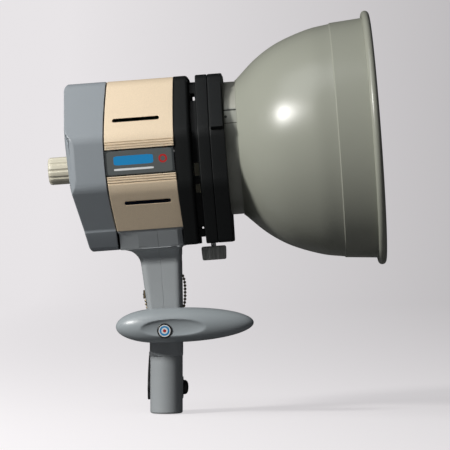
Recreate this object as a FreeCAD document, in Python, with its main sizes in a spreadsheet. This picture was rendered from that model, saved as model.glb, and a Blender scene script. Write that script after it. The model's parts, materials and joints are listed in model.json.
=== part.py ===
import FreeCAD, Part

import math
import os
import re

import Sketcher

# Studio flash head on a tilting stand bracket, with a bell reflector.
#
# Stand frame: the origin is the centre of the stand socket's mouth, +Z runs up the
# socket, +X is the side that the lamp faces and -Y is the operator's near side.
# Head frame: X is the optical axis, Z is up across it, and the tilt pivot lies
# axis_height below the origin. HEAD carries that frame into the stand frame.

doc = FreeCAD.newDocument("studio_flash_head")
sheet = doc.addObject("Spreadsheet::Sheet", "Sizes")

SIZES = [
    # stand socket, clamp and fork, in the stand frame
    ("tube_radius", 13.0, "outside of the stand socket"),
    ("stud_radius", 8.05, "socket bore, for a 16 mm stud"),
    ("stud_depth", 44.0, "depth of the bore"),
    ("fork_bottom", 46.0, "height where the fork widens"),
    ("slot_floor", 53.0, "floor of the slot in the fork"),
    ("slot_half", 8.0, "half the width of the slot"),
    ("pivot_height", 67.0, "tilt pivot above the socket's mouth"),
    ("bolt_radius", 4.0, "tilt bolt"),
    ("pin_gap", 0.05, "radial gap round a turning pin"),
    ("body_gap", 0.3, "gap between bodies that move past each other"),
    ("clamp_height", 20.0, "clamp bolt above the socket's mouth"),
    ("clamp_reach", 12.2, "clamp bolt behind the bore's axis"),
    ("clamp_bolt_radius", 3.0, "clamp bolt"),
    ("lug_radius", 8.6, "rounded end of the clamp lugs"),
    ("slit_half", 0.8, "half the width of the clamp's slit"),
    ("plate_thick", 2.3, "flat clamp lever"),
    # tilt lever, a rounded spindle lying along the near side
    ("lever_depth", 23.0, "lever's axis in front of the middle plane"),
    ("lever_rise", 4.0, "lever's axis above the pivot"),
    ("lever_thick", 13.7, "radius of the lever's middle"),
    ("lever_rear", 34.0, "length of the rear rounding"),
    ("lever_front", 60.3, "length of the front rounding"),
    ("lever_mid_start", -5.0, "start of the straight middle"),
    ("lever_mid_length", 15.0, "length of the straight middle"),
    ("lever_slope", 2.0, "lever's slope at rest, degrees"),
    ("badge_radius", 6.0, "round badge over the bolt"),
    # head frame
    ("tilt_rest", 4.2, "nose-up angle of the head at rest, degrees"),
    ("axis_height", 140.7, "optical axis above the tilt pivot"),
    ("back_x", -66.0, "rear face at its fullest"),
    ("seam_x", -32.0, "seam between rear housing and side shells"),
    ("shell_end", 21.0, "front end of the side shells"),
    ("ring_end", 32.5, "front of the first black ring"),
    ("gap_end", 38.0, "front of the vent gap"),
    ("plate_split", 47.5, "seam between the two adapter plates"),
    ("plate_end", 59.3, "front of the adapter"),
    ("wall", 2.2, "wall of the housings"),
    ("top_z", 59.0, "top of the body"),
    ("top_half", 28.0, "half width of the flat top"),
    ("side_half", 62.0, "half width of the body"),
    ("facet_top", 13.5, "upper edge of the upright side facet"),
    ("facet_low", -25.5, "lower edge of the upright side facet"),
    ("floor_z", -60.0, "underside of the side shells"),
    ("floor_half", 37.0, "half width of the underside"),
    ("chin_z", -74.5, "underside of the rear housing and bracket block"),
    ("chin_half", 35.0, "half width of the chin"),
    ("ring_half", 60.5, "half width of the black rings"),
    ("strip_top", 3.5, "upper edge of the nameplate strip"),
    ("strip_low", -17.4, "lower edge of the nameplate strip"),
    ("hub_inset", 5.5, "vent hub inside the rings' outline"),
    ("slot_long", 35.6, "air slot in a shell"),
    ("slot_tall", 2.8, "height of an air slot"),
    ("groove_width", 0.8, "fine grooves beside the nameplates"),
    ("crown_round", 14.0, "rounding between the flat top and the upper facets"),
    ("shoulder_round", 24.0, "rounding above the upright facets"),
    ("hip_round", 26.0, "rounding below the upright facets"),
    # bracket stalk
    ("stalk_top_half", 16.9, "half width of the stalk under the block"),
    ("stalk_low_z", -125.5, "shoulder of the stalk above the fork"),
    ("stalk_low_half", 13.8, "half width of the stalk at the shoulder"),
    ("knuckle_radius", 12.5, "tilt knuckle"),
    ("knuckle_half", 6.7, "half thickness of the knuckle"),
    ("neck_half", 9.0, "half width of the knuckle's root"),
    ("neck_top", -100.0, "top of the knuckle's root"),
    # reflector
    ("collar_radius", 53.0, "outside of the reflector's collar"),
    ("collar_back", 40.0, "rear edge of the collar"),
    ("bowl_start", 69.0, "seam between collar and bowl"),
    ("sheet_metal", 1.2, "reflector metal"),
    ("bowl_crease", 146.5, "step where the bowl turns into the rim band"),
    ("rim_x", 176.0, "centre of the rolled rim"),
    ("rim_radius", 98.2, "radius to the centre of the rolled rim"),
    ("bead_radius", 3.2, "rolled rim"),
    # reflector lock
    ("lock_x", 42.5, "lock screw along the optical axis"),
    ("lock_screw_radius", 2.0, "lock screw"),
    ("lock_knob_radius", 10.0, "lock knob"),
    ("lock_knob_top", -77.0, "upper face of the lock knob"),
    ("lock_knob_low", -88.0, "lower face of the lock knob"),
    # rear controls
    ("panel_half", 34.0, "half width of the control panel"),
    ("panel_top", 42.0, "top of the control panel"),
    ("panel_low", -27.0, "bottom of the control panel"),
    ("panel_x", -62.0, "outer face of the control panel"),
    ("panel_thick", 2.0, "control panel"),
    ("knob_z", -8.0, "power knob's axis"),
    ("knob_radius", 11.0, "power knob"),
    ("knob_back", -84.8, "rear face of the power knob"),
    ("knob_front", -64.4, "front face of the power knob"),
    ("top_row_z", 30.0, "button, sensor and sync socket"),
    ("second_row_z", 12.0, "ready lamp and fuse holder"),
    ("button_y", -21.0, "test button and ready lamp"),
    ("rocker_z", -14.0, "middle of the two rocker switches"),
    ("rocker_pin", 1.0, "pins that a rocker turns on"),
    ("rocker_y", 22.5, "rocker switches either side of the middle"),
    # lamp
    ("lamp_cap_radius", 13.0, "screw cap of the modelling lamp"),
    ("lamp_radius", 16.0, "modelling lamp's glass"),
    ("socket_radius", 17.0, "ceramic lamp socket"),
    ("flash_ring", 30.0, "radius of the flash tube's ring"),
    ("flash_radius", 4.0, "flash tube's glass"),
    ("flash_x", 68.0, "flash tube's ring along the optical axis"),
    # bead chain
    ("chain_x", -1.8, "middle of the chain loop"),
    ("chain_y", 19.5, "chain loop behind the stalk"),
    ("chain_z", 96.0, "middle of the chain loop above the socket's mouth"),
    ("chain_half_width", 16.2, "half width of the loop"),
    ("chain_half_height", 17.6, "half height of the loop"),
    ("chain_bead", 1.2, "radius of a bead"),
]

for row, (alias, amount, meaning) in enumerate(SIZES, start=1):
    sheet.set("A%d" % row, meaning)
    sheet.set("B%d" % row, str(amount))
    sheet.setAlias("B%d" % row, alias)
doc.recompute()

ALIASES = {alias for alias, amount, meaning in SIZES}
LONG = "200"
PLANE_AXES = {"YZ_Plane": (1, 2), "XZ_Plane": (0, 2), "XY_Plane": (0, 1)}
TURNS = {
    "X": FreeCAD.Rotation(FreeCAD.Vector(0, 1, 0), 90),
    "-X": FreeCAD.Rotation(FreeCAD.Vector(0, 1, 0), -90),
    "Y": FreeCAD.Rotation(FreeCAD.Vector(1, 0, 0), -90),
    "-Y": FreeCAD.Rotation(FreeCAD.Vector(1, 0, 0), 90),
    "Z": FreeCAD.Rotation(),
    "-Z": FreeCAD.Rotation(FreeCAD.Vector(1, 0, 0), 180),
}
FROM_X = TURNS["X"].inverted()


# ---------------------------------------------------------------- formulas

def formula(text):
    """Turn the sheet's words in a formula into references to its cells."""
    def reference(word):
        name = word.group(0)
        return "Sizes." + name if name in ALIASES else name
    return re.sub(r"[a-z][a-z_]+", reference, text)


def value(text):
    return float(sheet.evalExpression(formula(text)))


def bind(thing, **formulas):
    for name, text in formulas.items():
        thing.setExpression(name, formula(text))


def put(thing, x, y, z, axis="Z"):
    """Stand a primitive at a bound place, with its own Z along the axis."""
    thing.Placement = FreeCAD.Placement(FreeCAD.Vector(), TURNS[axis])
    for letter, text in zip("xyz", (x, y, z)):
        thing.setExpression("Placement.Base." + letter, formula(text))
    return thing


# ---------------------------------------------------------------- primitives

def box(x, y, z, length, width, height):
    block = doc.addObject("Part::Box", "Block")
    bind(block, Length=length, Width=width, Height=height)
    return put(block, x, y, z)


def wide_box(x, half, z, length, height):
    """A block that is centred across the middle plane."""
    return box(x, "-(%s)" % half, z, length, "2 * (%s)" % half, height)


def rod(radius, length, x, y, z, axis="X"):
    cylinder = doc.addObject("Part::Cylinder", "Rod")
    bind(cylinder, Radius=radius, Height=length)
    return put(cylinder, x, y, z, axis)


def taper(radius_start, radius_end, length, x, y, z, axis="X"):
    cone = doc.addObject("Part::Cone", "Taper")
    bind(cone, Radius1=radius_start, Radius2=radius_end, Height=length)
    return put(cone, x, y, z, axis)


def ball(radius, x, y, z):
    sphere = doc.addObject("Part::Sphere", "Ball")
    bind(sphere, Radius=radius)
    return put(sphere, x, y, z)


def fuse(*shapes):
    whole = doc.addObject("Part::MultiFuse", "Joined")
    whole.Shapes = list(shapes)
    whole.Refine = True
    return whole


def cut(base, *tools):
    left = doc.addObject("Part::Cut", "Cut")
    left.Base = base
    left.Tool = tools[0] if len(tools) == 1 else fuse(*tools)
    return left


def common(*shapes):
    shared = doc.addObject("Part::MultiCommon", "Shared")
    shared.Shapes = list(shapes)
    return shared


def group(*shapes):
    together = doc.addObject("Part::Compound", "Group")
    together.Links = list(shapes)
    return together


def rounded(solid, radius, wanted):
    """Round the edges whose middle point passes the test."""
    doc.recompute()
    smooth = doc.addObject("Part::Fillet", "Rounded")
    smooth.Base = solid
    size = value(radius)
    smooth.Edges = [(index, size, size) for index, edge in enumerate(solid.Shape.Edges, start=1)
                    if wanted(edge)]
    return smooth


def middle(edge):
    return edge.valueAt((edge.FirstParameter + edge.LastParameter) / 2)


# ---------------------------------------------------------------- sketched bodies

def outline(body, plane, points, start="0"):
    """Closed outline of straight lines whose corners are bound to the sheet."""
    sketch = body.newObject("Sketcher::SketchObject", "Outline")
    base = [plane_object for plane_object in body.Origin.OriginFeatures if plane_object.Role == plane]
    sketch.AttachmentSupport = [(base[0], "")]
    sketch.MapMode = "FlatFace"
    sketch.setExpression("AttachmentOffset.Base.z", formula(start))
    corners = [FreeCAD.Vector(value(across), value(up), 0) for across, up in points]
    count = len(corners)
    for index in range(count):
        sketch.addGeometry(Part.LineSegment(corners[index], corners[(index + 1) % count]))
    for index in range(count):
        sketch.addConstraint(Sketcher.Constraint("Coincident", index, 2, (index + 1) % count, 1))
    for index, (across, up) in enumerate(points):
        for kind, text in (("DistanceX", across), ("DistanceY", up)):
            number = sketch.addConstraint(Sketcher.Constraint(kind, -1, 1, index, 1, value(text)))
            sketch.setExpression("Constraints[%d]" % number, formula(text))
    return sketch


def corner_edges(shape, plane, places):
    """Names of the straight edges that stand on the given corners of an outline."""
    first, second = PLANE_AXES[plane]
    names = []
    for index, edge in enumerate(shape.Edges, start=1):
        ends = [vertex.Point for vertex in edge.Vertexes]
        for across, up in places:
            near = [abs(end[first] - across) < 1e-4 and abs(end[second] - up) < 1e-4 for end in ends]
            if len(ends) == 2 and all(near):
                names.append("Edge%d" % index)
    return names


def prism(plane, points, start, length, rounds=()):
    """Pad an outline along its plane's normal: +X, -Y or +Z. Rounds are (radius, corner numbers)."""
    body = doc.addObject("PartDesign::Body", "Body")
    pad = body.newObject("PartDesign::Pad", "Pad")
    pad.Profile = outline(body, plane, points, start)
    bind(pad, Length=length)
    last = pad
    for radius, chosen in rounds:
        doc.recompute()
        places = [(value(points[index][0]), value(points[index][1])) for index in chosen]
        fillet = body.newObject("PartDesign::Fillet", "Corners")
        fillet.Base = (last, corner_edges(last.Shape, plane, places))
        bind(fillet, Radius=radius)
        last = fillet
    body.Tip = last
    return body


def turned(points):
    """Turn an outline of (along, radius) corners about the X axis."""
    body = doc.addObject("PartDesign::Body", "Body")
    sketch = outline(body, "XZ_Plane", points)
    turn = body.newObject("PartDesign::Revolution", "Turned")
    turn.Profile = sketch
    turn.ReferenceAxis = (sketch, ["H_Axis"])
    turn.Angle = 360
    return body


# ---------------------------------------------------------------- pieces

STAND = FreeCAD.Placement()
PIVOT = FreeCAD.Placement(FreeCAD.Vector(0, 0, value("pivot_height")),
                          FreeCAD.Rotation(FreeCAD.Vector(0, 1, 0), -value("tilt_rest")))
HEAD = PIVOT.multiply(FreeCAD.Placement(FreeCAD.Vector(0, 0, value("axis_height")), FreeCAD.Rotation()))
LEVER = FreeCAD.Placement(FreeCAD.Vector(0, 0, value("pivot_height")),
                          FreeCAD.Rotation(FreeCAD.Vector(0, 1, 0), -value("lever_slope")))

pieces = []


def piece(label, frame, shape, at=("0", "0", "0"), axis="X"):
    """Name a sub-part and place it: `at` and `axis` turn and move a piece made along X."""
    if shape.TypeId in ("Part::Box", "Part::Cylinder", "Part::Cone", "Part::Sphere", "Part::Torus"):
        shape = group(shape)
    shape.Label = label
    local = FreeCAD.Placement(FreeCAD.Vector(*[value(text) for text in at]), TURNS[axis].multiply(FROM_X))
    shape.Placement = frame.multiply(local)
    pieces.append(shape)


def mirrored_outline(half):
    """Close an outline given by its right half, from the top down."""
    return half + [("-(%s)" % across, up) for across, up in reversed(half)]


# ---------------------------------------------------------------- stand socket and clamp

def stand_socket():
    """Turned socket with a split clamp behind it and a fork on top."""
    fork = fuse(
        box("-tube_radius", "-tube_radius", "fork_bottom", "2 * tube_radius", "2 * tube_radius",
            "pivot_height - fork_bottom"),
        rod("tube_radius", "2 * tube_radius", "0", "-tube_radius", "pivot_height", "Y"))
    soft_fork = rounded(fork, "4", lambda edge: abs(abs(middle(edge).x) - 13) < 0.1
                        and abs(abs(middle(edge).y) - 13) < 0.1 and middle(edge).z < 66)
    collar_taper = taper("tube_radius", "tube_radius + 10", "10", "0", "0", "fork_bottom - 1", "Z")
    fork_column = rod("tube_radius + 10", "30", "0", "0", "fork_bottom + 9", "Z")
    fork_trimmed = common(soft_fork, fuse(collar_taper, fork_column))
    lugs = fuse(
        rod("lug_radius", "2 * tube_radius", "-tube_radius", "clamp_reach", "clamp_height"),
        box("-tube_radius", "2", "clamp_height - lug_radius", "2 * tube_radius", "clamp_reach - 2",
            "2 * lug_radius"))
    body = fuse(
        rod("tube_radius", "fork_bottom + 2", "0", "0", "0", "Z"),
        fork_trimmed,
        rod("tube_radius", "slot_floor - fork_bottom", "0", "0", "fork_bottom", "Z"),
        lugs)
    hollow = cut(
        body,
        rod("stud_radius", "stud_depth", "0", "0", "0", "Z"),
        box("-slit_half", "stud_radius - 2", "-1", "2 * slit_half", "30", "38"),
        wide_box("-tube_radius - 8", "slot_half", "slot_floor", "2 * tube_radius + 16", "60"),
        rod("bolt_radius + pin_gap", "60", "0", "-30", "pivot_height", "Y"),
        rod("clamp_bolt_radius + pin_gap", "60", "-30", "clamp_reach", "clamp_height"))
    mouth = rounded(hollow, "1.5", lambda edge: edge.BoundBox.ZMax < 0.01 and
                    abs(math.hypot(middle(edge).x, middle(edge).y) - 13) < 0.01)
    piece("stand_socket", STAND, mouth)


def clamp_hardware():
    """Bolt, flat lever and dome nut that close the split in the socket."""
    lever_x = "-tube_radius - body_gap - plate_thick"
    long_arm = "29 - 4.2"
    blade = fuse(
        rod("6", "plate_thick", lever_x, "clamp_reach", "clamp_height"),
        box(lever_x, "clamp_reach - 4.2", "clamp_height", "plate_thick", "8.4", long_arm),
        rod("4.2", "plate_thick", lever_x, "clamp_reach", "clamp_height + " + long_arm),
        box(lever_x, "clamp_reach - 4.2", "clamp_height - 5.8", "plate_thick", "8.4", "5.8"),
        rod("4.2", "plate_thick", lever_x, "clamp_reach", "clamp_height - 5.8"))
    bolt_hole = rod("clamp_bolt_radius", "10", lever_x + " - 1", "clamp_reach", "clamp_height")
    piece("stand_lock_lever", STAND, cut(blade, bolt_hole))
    piece("clamp_bolt", STAND, rod("clamp_bolt_radius", "2 * tube_radius + 2.4 + body_gap + plate_thick",
                                   lever_x, "clamp_reach", "clamp_height"))
    dome = turned([("0", "clamp_bolt_radius + pin_gap"), ("0", "5.8"), ("1.6", "5.8"), ("3.0", "5.0"),
                   ("3.9", "3.2"), ("4.2", "0"), ("2.9", "0"), ("2.9", "clamp_bolt_radius + pin_gap")])
    piece("clamp_dome_nut", STAND, dome, at=("tube_radius", "clamp_reach", "clamp_height"))


def tilt_hardware():
    """Bolt through the fork, with friction washers, and the washer under the lever."""
    head = prism("XZ_Plane", hexagon("7.2"), "-(tube_radius + 5.5)", "5.5")
    shank = rod("bolt_radius", "2 * tube_radius + 14", "0", "-tube_radius - 14", "0", "Y")
    bolt = fuse(head, shank)
    piece("tilt_bolt", STAND, bolt, at=("0", "0", "pivot_height"))
    washers = []
    for near in ("-slot_half", "slot_half - 1"):
        disc = rod("11", "1", "0", near, "pivot_height", "Y")
        hole = rod("bolt_radius", "3", "0", near + " - 1", "pivot_height", "Y")
        washers.append(cut(disc, hole))
    piece("friction_washers", STAND, group(*washers))
    disc = rod("9", "1", "0", "-tube_radius - 1", "pivot_height", "Y")
    hole = rod("bolt_radius", "3", "0", "-tube_radius - 2", "pivot_height", "Y")
    piece("thrust_washer", STAND, cut(disc, hole))


def hexagon(flat_half):
    """Corners of a hexagon, measured from its middle to a flat."""
    return [("%s / cos(30) * cos(%d)" % (flat_half, turn), "%s / cos(30) * sin(%d)" % (flat_half, turn))
            for turn in range(0, 360, 60)]


# ---------------------------------------------------------------- tilt lever

def half_spindle(length, x, flip):
    """Half an ellipsoid with its long axis along X: flip points it backwards."""
    spindle = doc.addObject("Part::Ellipsoid", "Spindle")
    bind(spindle, Radius1=length, Radius2="lever_thick", Radius3="lever_thick")
    spindle.Angle1 = 0
    spindle.Angle2 = 90
    return put(spindle, x, "-lever_depth", "lever_rise", "-X" if flip else "X")


def tilt_lever():
    """Spindle-shaped lever with a flat back, an oval dish and a brass insert on the bolt."""
    back = "-(tube_radius + 1 + body_gap)"
    spindle = fuse(
        half_spindle("lever_rear", "lever_mid_start", True),
        rod("lever_thick", "lever_mid_length", "lever_mid_start", "-lever_depth", "lever_rise"),
        half_spindle("lever_front", "lever_mid_start + lever_mid_length", False))
    dish = doc.addObject("Part::Ellipsoid", "Dish")
    bind(dish, Radius1="8.2", Radius2="27", Radius3="3.4")
    put(dish, "6.6", "-lever_depth - lever_thick + 0.2", "1")
    body = cut(
        spindle,
        box("-100", back, "-50", "200", "50", "100"),
        dish,
        rod("7", "16", "0", back + " - 13", "0", "Y"),
        rod("badge_radius", "20", "0", "-lever_depth - 9.6 - 20", "0", "Y"))
    piece("tilt_lever", LEVER, body)
    bush = cut(rod("7", "13", "0", back + " - 13", "0", "Y"),
               rod("bolt_radius + pin_gap", "60", "0", "-60", "0", "Y"))
    piece("lever_insert", LEVER, bush)
    badge_face = rounded(rod("badge_radius", "1.6", "0", "-lever_depth - 11.2", "0", "Y"), "0.6",
                         lambda edge: edge.BoundBox.YMax < -(value("lever_depth") + 11.1))
    piece("lever_badge", LEVER, badge_face)


# ---------------------------------------------------------------- body housings

def section(inset="0"):
    """Half of the body's eight-sided cross-section, inset all round."""
    return mirrored_outline([
        ("top_half - (%s) * 0.5" % inset, "top_z - (%s)" % inset),
        ("side_half - (%s)" % inset, "facet_top - (%s) * 0.33" % inset),
        ("side_half - (%s)" % inset, "facet_low + (%s) * 0.33" % inset),
        ("floor_half - (%s) * 0.5" % inset, "floor_z + (%s)" % inset)])


def soft_corners(inset="0"):
    """Roundings of the eight-sided cross-section, top corners first."""
    return [("crown_round - (%s)" % inset, (0, 7)), ("shoulder_round - (%s)" % inset, (1, 6)),
            ("hip_round - (%s)" % inset, (2, 5))]


def rear_section(inset="0"):
    """Half of the rear housing's cross-section, which hangs lower than the shells'."""
    return mirrored_outline([
        ("top_half - (%s) * 0.5" % inset, "top_z - (%s)" % inset),
        ("side_half - (%s)" % inset, "facet_top - (%s) * 0.33" % inset),
        ("side_half - (%s)" % inset, "facet_low + (%s) * 0.33" % inset),
        ("floor_half - (%s)" % inset, "floor_z + 2"),
        ("chin_half - (%s)" % inset, "chin_z + (%s)" % inset)])


def ring_section(inset="0"):
    """Cross-section of the black rings, which hang as low as the chin."""
    return mirrored_outline([
        ("top_half - 2 - (%s) * 0.5" % inset, "top_z + 0.3 - (%s)" % inset),
        ("ring_half - (%s)" % inset, "facet_top + 0.5 - (%s) * 0.33" % inset),
        ("ring_half - (%s)" % inset, "facet_low - 2.5 + (%s) * 0.3" % inset),
        ("floor_half - 1 - (%s) * 0.6" % inset, "chin_z + (%s)" % inset)])


def ring_corners(inset="0"):
    """Roundings of the rings' cross-section, top corners first."""
    return [("crown_round - 4 - (%s)" % inset, (0, 7)), ("shoulder_round - 6 - (%s)" % inset, (1, 6)),
            ("hip_round - 6 - (%s)" % inset, (2, 5)), ("5", (3, 4))]


def rear_profile(inset="0"):
    """Side view of the rear housing, whose back leans in towards the chin."""
    return [
        ("seam_x + 1", "top_z + 1 - (%s)" % inset),
        ("back_x + 0.4 + (%s)" % inset, "top_z + 1 - (%s)" % inset),
        ("back_x + (%s)" % inset, "facet_top + 0.5"),
        ("back_x + 1.9 + (%s)" % inset, "facet_low + 0.5"),
        ("back_x + 7.6 + (%s)" % inset, "floor_z + 2"),
        ("back_x + 9.9 + (%s)" % inset, "chin_z - 1 + (%s)" % inset),
        ("seam_x + 1", "chin_z - 1 + (%s)" % inset)]


def rear_housing():
    """Moulded rear cover, open at the front, with a window for the control panel."""
    across = prism("YZ_Plane", rear_section(), "seam_x - 40", "40",
                   [("8", (0, 9)), ("14", (1, 2, 7, 8)), ("4", (3, 4, 5, 6))])
    along = prism("XZ_Plane", rear_profile(), "-" + LONG, "2 * " + LONG,
                  [("7", (1,)), ("6", (5,))])
    above = prism("XY_Plane", top_profile(), "-" + LONG, "2 * " + LONG, [("9", (1, 2))])
    outside = common(across, along, above)
    inside = common(prism("YZ_Plane", rear_section("wall"), "seam_x - 40", "50"),
                    prism("XZ_Plane", rear_profile("wall + 0.6"), "-" + LONG, "2 * " + LONG))
    window = wide_box("back_x - 10", "panel_half", "panel_low", "20", "panel_top - panel_low")
    piece("rear_housing", HEAD, cut(outside, inside, window))


def top_profile():
    """Top view of the rear housing, whose upright rear corners are rounded."""
    return [("seam_x + 1", "side_half + 0.1"), ("back_x - 0.1", "side_half + 0.1"),
            ("back_x - 0.1", "-side_half - 0.1"), ("seam_x + 1", "-side_half - 0.1")]


def side_shells():
    """Champagne upper and lower shells with a slot and three fine grooves on each side."""
    length = "shell_end - seam_x"
    groove_step = 2.0
    for label, low, high, slot_z, slot_x, groove_z, step, depths in (
            ("upper_shell", "strip_top", "top_z + 5", "26.6", "-25", "strip_top + 1.5", groove_step,
             (0.4, 0.45, 0.7)),
            ("lower_shell", "floor_z - 5", "strip_low", "-38.6", "-20.8", "strip_low - 1.5", -groove_step,
             (0.6, 0.85, 1.25))):
        whole = cut(prism("YZ_Plane", section(), "seam_x", length, soft_corners()),
                    prism("YZ_Plane", section("wall"), "seam_x - 1", length + " + 2", soft_corners("wall")))
        part = common(whole, wide_box("seam_x - 1", "100", low, length + " + 2", "(%s) - (%s)" % (high, low)))
        tools = [air_slot(slot_x, slot_z)]
        for rank, depth in enumerate(depths):
            z = "%s + %s - groove_width / 2" % (groove_z, step * rank)
            for side in ("side_half - %s" % depth, "-side_half - 2 + %s" % depth):
                tools.append(box("seam_x - 1", side, z, length + " + 2", "2", "groove_width"))
        piece(label, HEAD, cut(part, *tools))


def air_slot(x, z):
    """Long slot with round ends, through both sides."""
    ends = [rod("slot_tall / 2", "200", along, "-100", z, "Y")
            for along in (x + " + slot_tall / 2", x + " + slot_long - slot_tall / 2")]
    run = wide_box(x + " + slot_tall / 2", "100", z + " - slot_tall / 2", "slot_long - slot_tall", "slot_tall")
    return fuse(run, *ends)


def nameplates():
    """Glossy strip that covers the joint between the shells on each side."""
    for label, y in (("nameplate_near", "-side_half + 0.5"), ("nameplate_far", "side_half - 2.3")):
        plate = box("seam_x + 0.4", y, "strip_low", "shell_end - seam_x - 0.8", "1.8", "strip_top - strip_low")
        piece(label, HEAD, plate)


# ---------------------------------------------------------------- bracket stalk

def stalk_halves():
    """Bracket block and stalk, flared both ways and split across the middle into two castings."""
    side = [("seam_x + 0.3", "floor_z"), ("shell_end", "floor_z"), ("shell_end", "chin_z - 0.5"),
            ("stalk_top_half", "chin_z - 0.5"), ("stalk_low_half + 0.3", "stalk_low_z"),
            ("-(stalk_low_half - 0.4)", "stalk_low_z"), ("-stalk_top_half", "chin_z - 0.5"),
            ("seam_x + 0.3", "chin_z - 0.5")]
    front = [("chin_half + 1", "floor_z"), ("chin_half", "chin_z - 0.5"), ("14", "chin_z - 0.5"),
             ("13", "stalk_low_z")]
    for label, start in (("stalk_rear", "-60"), ("stalk_front", "0")):
        flared = common(
            prism("XZ_Plane", side, "-" + LONG, "2 * " + LONG, [("2.5", (3,)), ("13", (6,)), ("1.5", (2, 7))]),
            prism("YZ_Plane", mirrored_outline(front), "-60", "120", [("14", (2, 5)), ("2", (1, 6))]),
            wide_box(start, "60", "-200", "60", "200"))
        part = cut(flared, knuckle_root(), *(stalk_screw_shapes() + knuckle_pin_shapes()))
        piece(label, HEAD, part)


def knuckle_root():
    return wide_box("-neck_half", "knuckle_half", "stalk_low_z - 1", "2 * neck_half", "neck_top - stalk_low_z + 1")


def tilt_knuckle():
    """Steel tongue that the stalk's halves grip, with the eye for the tilt bolt."""
    eye = rod("knuckle_radius", "2 * knuckle_half", "0", "-knuckle_half", "-axis_height", "Y")
    web = wide_box("-knuckle_radius", "knuckle_half", "-axis_height", "2 * knuckle_radius",
                   "stalk_low_z + axis_height")
    hole = rod("bolt_radius + pin_gap", "60", "0", "-30", "-axis_height", "Y")
    piece("tilt_knuckle", HEAD, cut(fuse(eye, web, knuckle_root()), hole, *knuckle_pin_shapes()))


def knuckle_pin_shapes():
    return [rod("2", "20", "0", "-10", z, "Y") for z in ("-106", "-118")]


def stalk_screw_shapes():
    """Two screws along X that pull the halves together, heads to the front."""
    screws = []
    for y in ("-9", "9"):
        screws.append(fuse(rod("3.2", "5", "14", y, "-84"), rod("1.6", "24", "-10", y, "-84")))
    return screws


def stalk_fasteners():
    screws = [fuse(rod("3.2", "1.8", "14", y, "-84"), rod("1.6", "24", "-10", y, "-84")) for y in ("-9", "9")]
    piece("stalk_screws", HEAD, group(*screws))
    piece("knuckle_pins", HEAD, group(*knuckle_pin_shapes()))


# ---------------------------------------------------------------- bead chain

def bead_chain():
    """Closed loop of beads behind the stalk, with a clasp, hanging from a small eye screw."""
    count = 34
    clasp_beads = (24, 25)
    beads = []
    for index in range(count):
        if index not in clasp_beads:
            turn = 360 * (index + 0.5) / count
            beads.append(ball("chain_bead", "chain_x + chain_half_width * sin(%f)" % turn, "chain_y",
                              "chain_z + chain_half_height * cos(%f)" % turn))
    piece("bead_chain", STAND, group(*beads))
    clasp = fuse(rod("1.7", "6.8", "chain_x - chain_half_width", "chain_y", "chain_z - 5", "Z"),
                 rod("2", "1", "chain_x - chain_half_width", "chain_y", "chain_z - 2.1", "Z"))
    piece("chain_clasp", STAND, clasp)
    eye = doc.addObject("Part::Torus", "Eye")
    bind(eye, Radius1="2.6", Radius2="0.6")
    put(eye, "chain_x", "chain_y", "chain_z + chain_half_height", "X")
    shank = rod("0.8", "2.6", "chain_x", "chain_y - 5", "chain_z + chain_half_height", "Y")
    flange = rod("2.2", "0.8", "chain_x", "chain_y - 5.7", "chain_z + chain_half_height", "Y")
    piece("chain_eye_screw", STAND, fuse(eye, shank, flange))


# ---------------------------------------------------------------- rear controls

def control_panel():
    """Panel in the rear housing's window, with openings for its parts."""
    plate = wide_box("panel_x", "panel_half", "panel_low", "panel_thick", "panel_top - panel_low")
    holes = [
        rod("5", "20", "panel_x - 5", "0", "knob_z"),
        box("panel_x - 5", "-rocker_y - 6.5", "rocker_z - 10", "20", "13", "20"),
        box("panel_x - 5", "rocker_y - 6.5", "rocker_z - 10", "20", "13", "20"),
        rod("4", "20", "panel_x - 5", "button_y", "top_row_z"),
        rod("2.5", "20", "panel_x - 5", "button_y", "second_row_z"),
        rod("7", "20", "panel_x - 5", "0", "top_row_z"),
        rod("4.5", "20", "panel_x - 5", "-button_y", "top_row_z"),
        rod("6", "20", "panel_x - 5", "-button_y", "second_row_z")]
    piece("control_panel", HEAD, cut(plate, *holes))


def power_control():
    """Potentiometer behind the panel and its ribbed knob."""
    pot = fuse(rod("9", "12", "panel_x + panel_thick", "0", "knob_z"),
               rod("5", "5.4", "panel_x - 3.4", "0", "knob_z"))
    piece("power_pot", HEAD, cut(pot, rod("3 + pin_gap", "40", "panel_x - 5", "0", "knob_z")))
    knob = turned([("knob_back", "0"), ("knob_back", "knob_radius - 2"), ("knob_back + 0.7", "knob_radius - 0.9"),
                   ("knob_back + 2", "knob_radius"), ("knob_front", "knob_radius"), ("knob_front", "5.6"),
                   ("knob_front - 2", "5.6"), ("knob_front - 2", "3"), ("knob_back + 4", "3"),
                   ("knob_back + 4", "0")])
    ribs = []
    for index in range(24):
        notch = rod("0.55", "14.5", "knob_front - 14", "(knob_radius + 0.2) * cos(%s)" % (index * 15),
                    "(knob_radius + 0.2) * sin(%s)" % (index * 15))
        ribs.append(notch)
    piece("power_knob", HEAD, cut(knob, *ribs), at=("0", "0", "knob_z"))
    piece("knob_shaft", HEAD, rod("3", "panel_x + 10 - (knob_back + 4)", "knob_back + 4", "0", "knob_z"))


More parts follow.
